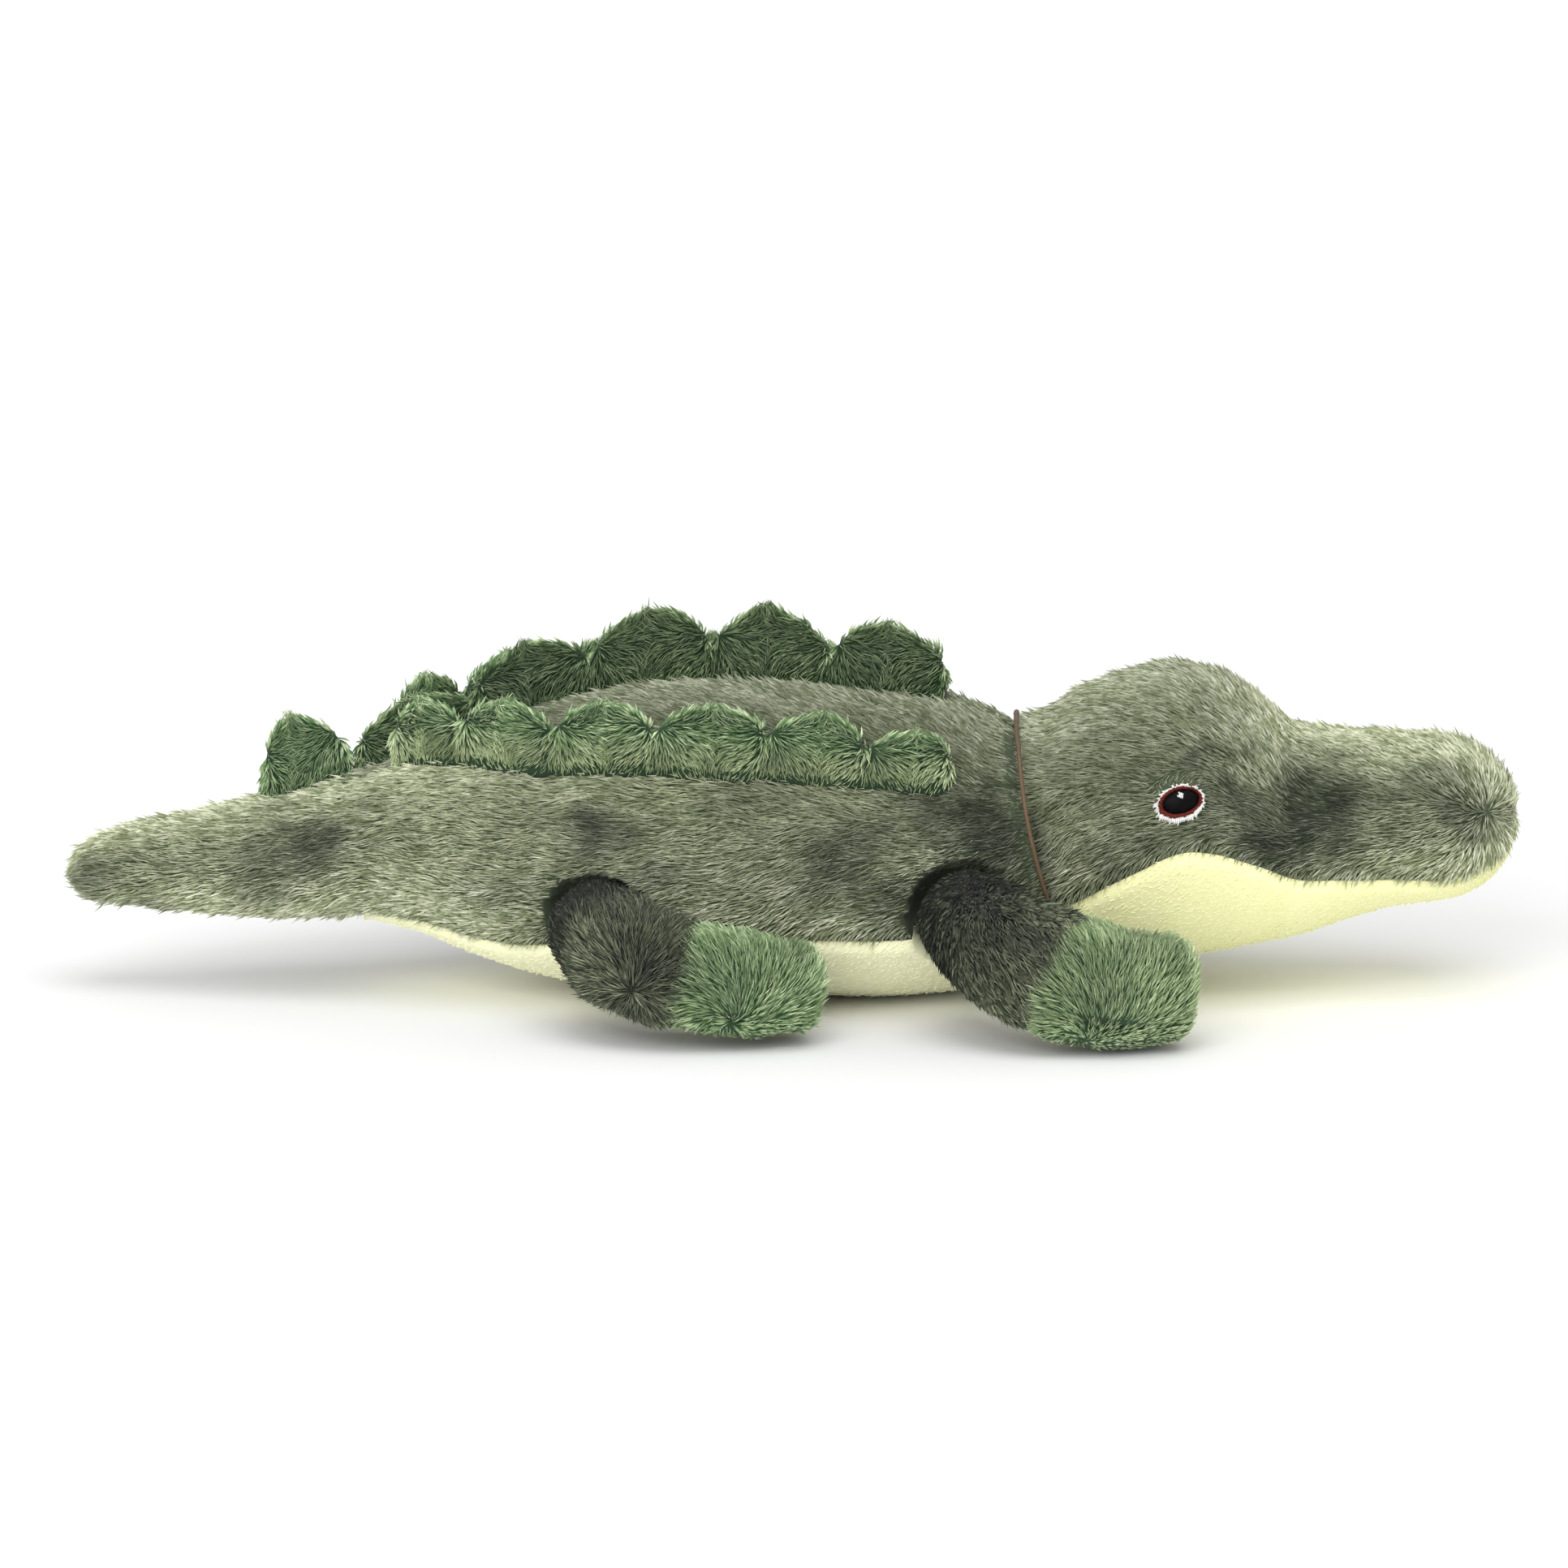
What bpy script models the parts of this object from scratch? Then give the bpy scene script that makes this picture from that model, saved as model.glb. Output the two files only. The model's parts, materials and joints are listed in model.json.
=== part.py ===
"""A plush crocodile lying on its belly, nose towards +X, on the plane z = 0.

The toy is a stuffed bag of fur fabric. Its tail, torso and head share one outline, and the seams are
lines on it. Each skin panel is a thick patch between two of those lines, and the wadding fills what
the skins enclose. The head and the tail turn about upright axes on rounded ends that fit hollows in
the torso, and each leg sweeps about an upright axis at its seam.

An angle round the body is in degrees: 0 on the left side (+Y), 90 on the back, 180 on the right side
and 270 or -90 on the belly.
"""

import math

import bmesh
import bpy
import numpy as np
from mathutils import Matrix

# Driving dimensions of the whole toy, in metres
tail_length = 0.067
torso_length = 0.153
head_length = 0.110
tail_rise = 0.0155
tail_height = 0.0375
tail_width = 0.040
torso_height = 0.0735
torso_width = 0.090
head_rise = 0.0055
head_height = 0.0710
head_width = 0.072
floor_press = 0.0005

# Cloth, stitches and the clearances between pieces that touch
skin_thickness = 0.003
seam_gap = 0.0003
joint_gap = 0.0006
wadding_joint_gap = 0.0015

# Outline: share of the part's length, then top, underside and width as shares of that part's sizes
tail_outline_shares = (
    (0.00, 0.54, 0.07, 0.42),
    (0.14, 0.61, 0.06, 0.50),
    (0.30, 0.67, 0.045, 0.60),
    (0.50, 0.75, 0.02, 0.72),
    (0.75, 0.86, 0.00, 0.90),
)
torso_outline_shares = (
    (0.00, 0.725, 0.224, 0.478),
    (0.065, 0.785, 0.200, 0.580),
    (0.18, 0.858, 0.112, 0.735),
    (0.25, 0.893, 0.066, 0.825),
    (0.36, 0.955, 0.020, 0.915),
    (0.50, 0.988, 0.002, 0.985),
    (0.60, 0.985, 0.000, 1.000),
    (0.75, 0.953, 0.000, 0.965),
    (0.87, 0.922, 0.005, 0.880),
    (0.95, 0.888, 0.032, 0.790),
    (1.00, 0.888, 0.058, 0.745),
)
head_outline_shares = (
    (0.09, 0.918, 0.005, 0.940),
    (0.19, 0.975, 0.020, 0.975),
    (0.285, 1.000, 0.033, 1.000),
    (0.38, 0.972, 0.054, 0.945),
    (0.47, 0.890, 0.080, 0.850),
    (0.55, 0.796, 0.104, 0.765),
    (0.64, 0.782, 0.145, 0.710),
    (0.76, 0.775, 0.195, 0.690),
    (0.88, 0.772, 0.215, 0.665),
    (1.00, 0.765, 0.210, 0.620),
)
tail_cap = 0.010
nose_cap = 0.0205
roundness = 2.2

# Seam lines: share of the part's length and angle in degrees, on the left side
belly_seam_shares = (
    (0.00, -72),
    (0.08, -60),
    (0.20, -47),
    (0.27, -38),
    (0.40, -27),
    (0.75, -27),
    (1.00, -24),
)
crest_seam_shares = ((0.00, 76), (0.05, 74), (0.16, 60), (0.32, 45), (0.60, 39), (0.87, 39), (1.00, 39))
chin_seam_shares = (
    (-0.10, -24),
    (0.05, -22),
    (0.18, -13),
    (0.32, -5),
    (0.46, -10),
    (0.60, -20),
    (0.75, -34),
    (0.88, -44),
    (1.00, -42),
)

# The head's and the tail's hinges along those parts, and how far each rounded end stands out from
# the section at its hinge
head_hinge_share = 0.155
tail_hinge_share = 0.91
ball_share = 1.06

# Crests: ends and heights of the scutes, and the strip that they are cut from
spine_rear_share = 0.008
spine_front_share = 0.87
spine_scute_shares = (0.96, 1.0, 1.02, 0.88, 0.76)
spine_peak_height = 0.0145
spine_valley_height = 0.0055
spine_thickness = 0.0085
side_front_share = 0.875
side_length = 0.1265
side_pitch_shares = (0.14, 0.17, 0.175, 0.19, 0.165, 0.16)
side_scute_shares = (0.76, 0.98, 1.02, 1.0, 0.92, 0.80)
side_peak_height = 0.0150
side_valley_height = 0.0065
side_thickness = 0.0080
tail_scute_length = 0.0175
tail_scute_setback = 0.0012
tail_scute_peak_height = 0.0140
tail_scute_valley_height = 0.0045
crest_lean_share = 0.5
crest_end_share = 0.55
crest_shoulder_share = 0.45
crest_top_share = 0.20
crest_bulge_share = 0.45
scute_fullness = 0.8
flange_thickness = 0.0010
flange_depth = 0.0024
flange_play = 0.0006
seam_ease = 0.012

# Legs: where each starts on the torso, its path from there (forward, outward, height), its radii, the
# toe's height, how far a section's top leans forward at the ankle, as a share of its height, and where
# the foot is sewn on, as a share of the way to the ankle
hind_root_share = 0.353
hind_root_height = 0.0220
hind_elbow = (0.007, 0.0178, 0.0198)
hind_ankle = (0.0215, 0.0220, 0.0160)
hind_toe = (0.043, 0.0172)
hind_radii = (0.0130, 0.0135, 0.0130)
hind_toe_height = 0.0215
hind_tilt_share = 0.29
hind_seam_share = 0.93
front_root_share = 0.902
front_root_height = 0.0240
front_elbow = (0.008, 0.0218, 0.0220)
front_ankle = (0.0245, 0.0288, 0.0170)
front_toe = (0.043, 0.0245)
front_radii = (0.0135, 0.0138, 0.0136)
front_toe_height = 0.0240
front_tilt_share = 0.49
front_seam_share = 0.87
root_stand_off = 0.0006
foot_height = 0.0265
toe_rise = 0.0010
foot_width = 0.0300
toe_width = 0.0285
toe_cap = 0.0090
foot_roundness = 2.6
foot_middle_share = 0.5
socket_reach = 0.016
leg_inward_sweep = 4.0
leg_outward_sweep = 35.0

# Embroidered eye: place, outline and widths of the bands of thread
eye_share = 0.300
eye_angle = 13.0
eye_length = 0.0118
eye_height = 0.0089
eye_tilt = 27.0
eye_border = 0.0011
eye_ring = 0.0009
thread_gap = 0.0002
thread_height = 0.0006
highlight_length = 0.0026
highlight_height = 0.0016
highlight_place = (0.0004, 0.0013)

# Neck cord, and the pouch of pellets in the belly
cord_diameter = 0.0012
cord_setback = 0.0014
cord_stand_off = 0.0005
pouch_share = 0.62
pouch_length = 0.056
pouch_width = 0.040
pouch_height = 0.012

# How finely each piece is divided
torso_station_shares = (0, 0.05, 0.11, 0.18, 0.26, 0.35, 0.45, 0.56, 0.67, 0.78, 0.89, 1)
head_station_shares = (0, 0.11, 0.23, 0.35, 0.47, 0.58, 0.70, 0.84, 1)
tail_station_shares = (0, 0.22, 0.46, 0.72, 1)
cap_angles = (25, 49, 70, 86)
ball_cap_shares = (0.33, 0.62, 0.88)
belly_column_shares = (0, 0.17, 0.31, 0.43, 0.57, 0.69, 0.83, 1)
flank_columns = 5
back_columns = 3
cheek_columns = 5
chin_columns = 5
tail_columns = 5
dome_angles = (-90, -60, -28)
sleeve_station_shares = (0, 0.30, 0.64, 1)
foot_station_shares = (0, 0.45, 1)
toe_angles = (30, 60, 85)
foot_top_angles = (-30, 4, 38, 72, 108, 142, 176, 210)
foot_sole_angles = (210, 246, 294, 330)
sweep_steps = 5
socket_sides = 8
socket_cap_shares = (0.22, 0.45, 0.66, 0.87)
socket_station_shares = (0, 0.5, 1)
scute_steps = 4
eye_steps = 16
cord_steps = 40
pouch_sides = 12
pouch_angles = (-75, -50, -25, 0, 25, 50, 75)
probe_length = 0.0004
probe_angle = 0.5
search_steps = 40
merge_distance = 0.000002
hinge_display_size = 0.02
sharp_angle = 40

# Places along the body that follow from the sizes
wadding_depth = skin_thickness + seam_gap
tip_x = -(tail_length + torso_length + head_length) / 2
tail_root_x = tip_x + tail_length
neck_x = tail_root_x + torso_length
nose_x = neck_x + head_length
tail_cap_x = tip_x + tail_cap
nose_cap_x = nose_x - nose_cap
head_hinge_x = neck_x + head_hinge_share * head_length
tail_hinge_x = tip_x + tail_hinge_share * tail_length
spine_front_x = tail_root_x + spine_front_share * torso_length
spine_rear_x = tail_root_x + spine_rear_share * torso_length
side_front_x = tail_root_x + side_front_share * torso_length
side_rear_x = side_front_x - side_length


# The outline and the surface
def smooth_curve(places, values):
    """A curve through the points that rises and falls only where they do: cubic pieces whose slope
    at each point is the harmonic mean of the slopes on its two sides, or 0 at a turn."""
    places = np.array(places, float)
    values = np.array(values, float)
    runs = np.diff(places)
    rates = np.diff(values) / runs
    before = 2 * runs[1:] + runs[:-1]
    after = runs[1:] + 2 * runs[:-1]
    same_way = rates[:-1] * rates[1:] > 0
    divisors = np.where(rates == 0, 1, rates)
    means = (before + after) / (before / divisors[:-1] + after / divisors[1:])
    slopes = np.concatenate([rates[:1], np.where(same_way, means, 0), rates[-1:]])

    def value(place):
        place = np.clip(place, places[0], places[-1])
        i = np.clip(np.searchsorted(places, place) - 1, 0, len(runs) - 1)
        t = (place - places[i]) / runs[i]
        eased = values[i] + (values[i + 1] - values[i]) * t * t * (3 - 2 * t)
        return eased + runs[i] * t * (1 - t) * ((1 - t) * slopes[i] - t * slopes[i + 1])

    return value


def outline():
    """Curves of top, underside and half-width along the whole toy."""
    rows = []
    for along, top, under, width in tail_outline_shares:
        heights = tail_rise + np.array([top, under]) * tail_height
        rows.append((tip_x + along * tail_length, *heights, width * tail_width / 2))
    for along, top, under, width in torso_outline_shares:
        heights = np.array([top, under]) * torso_height - (0, floor_press)
        rows.append((tail_root_x + along * torso_length, *heights, width * torso_width / 2))
    for along, top, under, width in head_outline_shares:
        heights = head_rise + np.array([top, under]) * head_height
        rows.append((neck_x + along * head_length, *heights, width * head_width / 2))
    x, top, under, half_width = np.array(rows).T
    return smooth_curve(x, top), smooth_curve(x, under), smooth_curve(x, half_width)


top_at, under_at, half_width_at = outline()


def seam_line(shares, start_x, length):
    return smooth_curve([start_x + share * length for share, _ in shares], [angle for _, angle in shares])


belly_seam = seam_line(belly_seam_shares, tail_root_x, torso_length)
crest_seam = seam_line(crest_seam_shares, tail_root_x, torso_length)
chin_seam = seam_line(chin_seam_shares, neck_x, head_length)


def straight_seam(angle):
    return lambda x: np.full_like(x, angle)


def mirrored(seam):
    """The same seam on the right side."""
    return lambda x: 180 - seam(x)


def a_turn_on(seam):
    """The same seam with its angle a whole turn larger, so that angles rise round the body."""
    return lambda x: 360 + seam(x)


def middle_at(x):
    return (top_at(x) + under_at(x)) / 2


def half_height_at(x):
    return (top_at(x) - under_at(x)) / 2


def end_rounding(x):
    """1 along the toy, falling to 0 at its two ends as a quarter of an ellipse does."""
    past = np.maximum((tail_cap_x - x) / tail_cap, (x - nose_cap_x) / nose_cap)
    past = np.clip(past, 0, 1)
    return np.sqrt(1 - past * past)


def power(value, exponent):
    return np.sign(value) * np.abs(value) ** exponent


def trunk_surface(x, angle):
    """The outer surface: at each x a superellipse as wide and high as the outline says there."""
    radians = np.radians(angle)
    y = half_width_at(x) * end_rounding(x) * power(np.cos(radians), 2 / roundness)
    z = middle_at(x) + half_height_at(x) * end_rounding(x) * power(np.sin(radians), 2 / roundness)
    return np.stack(np.broadcast_arrays(x, y, z), axis=-1)


def unit(vectors):
    return vectors / np.linalg.norm(vectors, axis=-1, keepdims=True)


def step_along(x, angle):
    low = np.clip(x - probe_length, tip_x, nose_x - 2 * probe_length)
    return trunk_surface(low + 2 * probe_length, angle) - trunk_surface(low, angle)


def step_round(x, angle):
    return trunk_surface(x, angle + probe_angle) - trunk_surface(x, angle - probe_angle)


def trunk_normal(x, angle):
    """Outward and square to the surface: the cross product of a step round it and one along it."""
    return unit(np.cross(step_round(x, angle), step_along(x, angle)))


def trunk(x, angle, depth):
    """The surface at a depth inside the outer one, cut flat where it would pass below that height."""
    points = trunk_surface(x, angle) - depth * trunk_normal(x, angle)
    points[..., 2] = np.maximum(points[..., 2], depth)
    return points


def arc_angle(x, angle, length):
    """The degrees that a short length takes up round the body."""
    return length * 2 * probe_angle / np.linalg.norm(step_round(x, angle), axis=-1)


def closing_rings(ring, centre, radii, pole, shares):
    """Rings on an ellipsoid that close in from a given ring towards a pole, nearest last."""
    start = unit((ring - centre) / radii)
    return [centre + radii * unit(start * (1 - share) + pole * share) for share in shares]


class Ball:
    """The rounded end on which the head or the tail turns: an ellipsoid of revolution about an
    upright axis, a little larger than the body's section there. Its pole points into the torso."""

    def __init__(self, x, pole):
        self.centre = np.array([x, 0, middle_at(x)])
        self.wide = half_width_at(x) * ball_share
        self.tall = half_height_at(x) * ball_share
        self.pole = pole

    def radii(self, gap):
        return np.array([self.wide + gap, self.wide + gap, self.tall + gap])

    def seam_x(self, angles, depth, gap):
        """Where each line along the body meets the ball, found by halving the interval."""
        radii = self.radii(gap)
        inside = np.full_like(angles(self.centre[0]), self.centre[0])
        outside = inside + self.pole * radii[0]
        for _ in range(search_steps):
            x = (inside + outside) / 2
            reach = (trunk(x, angles(x), depth) - self.centre) / radii
            out = np.sum(reach * reach, axis=-1) > 1
            outside = np.where(out, x, outside)
            inside = np.where(out, inside, x)
        return inside

    def cap(self, ring, gap):
        """Rings on the ball from a given ring towards its pole."""
        pole = np.array([self.pole, 0, 0])
        return closing_rings(ring, self.centre, self.radii(gap), pole, ball_cap_shares)


neck_ball = Ball(head_hinge_x, -1)
tail_ball = Ball(tail_hinge_x, 1)


# Meshes from grids of points
def closed_mesh(points, faces):
    """A mesh of triangles with its doubled points merged and its faces turned outwards."""
    mesh = bpy.data.meshes.new("piece")
    mesh.from_pydata(points.tolist(), [], faces)
    shape = bmesh.new()
    shape.from_mesh(mesh)
    bmesh.ops.remove_doubles(shape, verts=shape.verts, dist=merge_distance)
    wires = [edge for edge in shape.edges if edge.is_wire]
    bmesh.ops.delete(shape, geom=wires, context="EDGES")
    bmesh.ops.triangulate(shape, faces=shape.faces)
    bmesh.ops.recalc_face_normals(shape, faces=shape.faces)
    shape.to_mesh(mesh)
    shape.free()
    return mesh


def grid_faces(index, wrap):
    """Quads between the neighbours of a grid of point numbers, closed round it if wrap is set."""
    following = np.roll(index, -1, axis=1)
    if not wrap:
        index = index[:, :-1]
        following = following[:, :-1]
    quads = np.stack([index[:-1], following[:-1], following[1:], index[1:]], axis=-1)
    return quads.reshape(-1, 4).tolist()


def shell(outer, inner, wrap=False):
    """A patch of thick cloth: the outer grid, the inner grid and the walls along their edges."""
    rows, columns = outer.shape[:2]
    top = np.arange(rows * columns).reshape(rows, columns)
    bottom = top + rows * columns
    faces = grid_faces(top, wrap) + grid_faces(bottom, wrap)
    for row in (0, -1):
        faces += grid_faces(np.stack([top[row], bottom[row]]), wrap)
    if not wrap:
        for column in (0, -1):
            faces += grid_faces(np.stack([top[:, column], bottom[:, column]]), wrap)
    return closed_mesh(np.concatenate([outer.reshape(-1, 3), inner.reshape(-1, 3)]), faces)


def lofted(rings):
    """A solid through closed rings, each end closed by a fan to its ring's middle."""
    rings = np.array(rings)
    rows, columns = rings.shape[:2]
    index = np.arange(rows * columns).reshape(rows, columns)
    faces = grid_faces(index, True)
    for middle, row in ((rows * columns, 0), (rows * columns + 1, -1)):
        pairs = zip(index[row].tolist(), np.roll(index[row], -1).tolist())
        faces += [[first, second, middle] for first, second in pairs]
    middles = rings[[0, -1]].mean(axis=1)
    return closed_mesh(np.concatenate([rings.reshape(-1, 3), middles]), faces)


def other_side(points):
    """The same points mirrored to the right side."""
    return points * np.array([1, -1, 1])


# Objects
body_fur_names = (
    "flank_left_skin",
    "flank_right_skin",
    "back_left_skin",
    "back_right_skin",
    "head_left_skin",
    "head_right_skin",
    "tail_left_skin",
    "tail_right_skin",
)


def cloth(name, colour, roughness):
    material = bpy.data.materials.new(name)
    material.use_nodes = True
    shader = material.node_tree.nodes["Principled BSDF"]
    shader.inputs["Base Color"].default_value = (*colour, 1)
    shader.inputs["Roughness"].default_value = roughness
    shader.inputs["Metallic"].default_value = 0
    return material


def add_hinge(name, place):
    hinge = bpy.data.objects.new(name, None)
    hinge.empty_display_type = "SINGLE_ARROW"
    hinge.empty_display_size = hinge_display_size
    hinge.location = place
    bpy.context.scene.collection.objects.link(hinge)
    return hinge


def add_piece(name, mesh, material, hinge=None):
    """One sub-part. Where it has a hinge, its points are kept from the hinge's place."""
    mesh.name = name
    mesh.materials.append(material)
    mesh.shade_smooth()
    mesh.set_sharp_from_angle(angle=math.radians(sharp_angle))
    piece = bpy.data.objects.new(name, mesh)
    bpy.context.scene.collection.objects.link(piece)
    if hinge:
        mesh.transform(Matrix.Translation(-hinge.location))
        piece.parent = hinge
    return piece


def add_cutter(name, mesh, group):
    cutter = bpy.data.objects.new(name, mesh)
    cutter.hide_render = True
    cutter.display_type = "WIRE"
    group.objects.link(cutter)


def add_group(name):
    group = bpy.data.collections.new(name)
    group.hide_render = True
    bpy.context.scene.collection.children.link(group)
    return group


def cut(piece, group):
    modifier = piece.modifiers.new(group.name, "BOOLEAN")
    modifier.operation = "DIFFERENCE"
    modifier.operand_type = "COLLECTION"
    modifier.collection = group
    modifier.solver = "EXACT"


# Skin panels and wadding of the tail, torso and head
def stations(start, cap_x, cap, shares):
    """Places from a start to where the end cap begins, then round the cap by equal-angle steps."""
    body = start + (cap_x - start) * np.array(shares, float)[:, None]
    rounded = cap_x + cap * np.sin(np.radians(cap_angles))[:, None]
    return np.concatenate([body, np.broadcast_to(rounded, (len(cap_angles), len(start)))])


def torso_grid(angles, depth, gap):
    rear = tail_ball.seam_x(angles, depth, gap)
    front = neck_ball.seam_x(angles, depth, gap)
    x = rear + (front - rear) * np.array(torso_station_shares, float)[:, None]
    return trunk(x, angles(x), depth)


def head_grid(angles, depth, gap):
    rear = neck_ball.seam_x(angles, depth, gap)
    x = stations(rear, nose_cap_x, nose_cap, head_station_shares)
    return trunk(x, angles(x), depth)


def tail_grid(angles, depth, gap):
    front = tail_ball.seam_x(angles, depth, gap)
    x = stations(front, tail_cap_x, -tail_cap, tail_station_shares)
    return trunk(x, angles(x), depth)


def plain_gap(x):
    return np.full_like(x, seam_gap / 2)


def flange_gap(start, end):
    """Half a seam's width: room for a crest's flange between start and end, eased in past them."""
    beside = flange_thickness / 2 + flange_play

    def half_gap(x):
        past = np.maximum(start - x, x - end) / seam_ease - 1
        return beside + (seam_gap / 2 - beside) * np.clip(past, 0, 1)

    return half_gap


class Panel:
    """A skin between two seams, each with its half gap, and its columns' shares of the way across."""

    def __init__(self, name, low, high, low_gap, high_gap, shares):
        self.name = name
        self.low = low
        self.high = high
        self.low_gap = low_gap
        self.high_gap = high_gap
        self.shares = np.array(shares, float)

    def seam_angles(self, x):
        """Its columns' angles from seam to seam, without the last, which the next panel starts with."""
        return self.low(x) + (self.high(x) - self.low(x)) * self.shares[:-1]

    def cut_angles(self, x):
        """Its columns' angles from cut edge to cut edge."""
        low = self.low(x) + arc_angle(x, self.low(x), self.low_gap(x))
        high = self.high(x) - arc_angle(x, self.high(x), self.high_gap(x))
        return low + (high - low) * self.shares


def even_shares(count):
    return [number / count for number in range(count + 1)]


def add_skins(panels, grid, gap, materials, hinge=None):
    """A piece for each panel, by name."""
    pieces = {}
    for panel in panels:
        mesh = shell(grid(panel.cut_angles, 0, gap), grid(panel.cut_angles, skin_thickness, gap))
        pieces[panel.name] = add_piece(panel.name, mesh, materials[panel.name], hinge)
    return pieces


def wadding_grid(panels, grid, gap):
    """The space inside all the panels of one part, a seam's gap from them."""
    return np.concatenate([grid(panel.seam_angles, wadding_depth, gap) for panel in panels], axis=1)


# Crests
def scute_heights(shares, peak, valley):
    """Heights along a crest: between valleys each scute rises as a power of half a sine wave."""
    heights = [valley * shares[0]]
    for number, share in enumerate(shares):
        for step in range(1, scute_steps):
            rise = math.sin(math.pi * step / scute_steps) ** scute_fullness
            heights.append(share * (valley + (peak - valley) * rise))
        following = shares[min(number + 1, len(shares) - 1)]
        heights.append(valley * (share + following) / 2)
    return np.array(heights)


def scute_places(front, length, pitch_shares):
    """Places along a crest from its front backwards, with equal steps in each scute."""
    bounds = np.concatenate([[0], np.cumsum(pitch_shares)]) / sum(pitch_shares)
    steps = np.arange(len(pitch_shares) * scute_steps + 1) / scute_steps
    return front - length * np.interp(steps, np.arange(len(bounds)), bounds)


def crest_mesh(x, seam, heights, thickness, mirror=False):
    """A padded strip along a seam. Each ring is a thin flange down into the seam, a shoulder on the
    skin and a body that leans from the skin's normal towards upright."""
    angle = seam(x)
    foot = trunk_surface(x, angle)
    normal = trunk_normal(x, angle)
    along = unit(np.gradient(foot, axis=0))
    upright = np.array([0, 0, 1])
    lean = unit(normal * (1 - crest_lean_share) + upright * crest_lean_share)
    across = unit(np.cross(along, normal))
    across_lean = unit(np.cross(along, lean))
    half = np.full(len(x), thickness / 2)
    half[[0, -1]] *= crest_end_share
    flange = np.full(len(x), flange_thickness / 2)
    seat = np.full(len(x), seam_gap)
    deep = np.full(len(x), -flange_depth)
    base = ((flange, deep), (flange, seat), (half * 2 * crest_shoulder_share, seat))
    body = ((half, heights * crest_bulge_share), (half * 2 * crest_top_share, heights))

    def line(side, up, sign, sideways, upwards):
        return foot + sideways * (sign * side)[:, None] + upwards * up[:, None]

    ring = [line(side, up, 1, across, normal) for side, up in base]
    ring += [line(side, up, 1, across_lean, lean) for side, up in body]
    ring += [line(side, up, -1, across_lean, lean) for side, up in reversed(body)]
    ring += [line(side, up, -1, across, normal) for side, up in reversed(base)]
    rings = np.stack(ring, axis=1)
    return lofted(other_side(rings) if mirror else rings)


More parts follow.
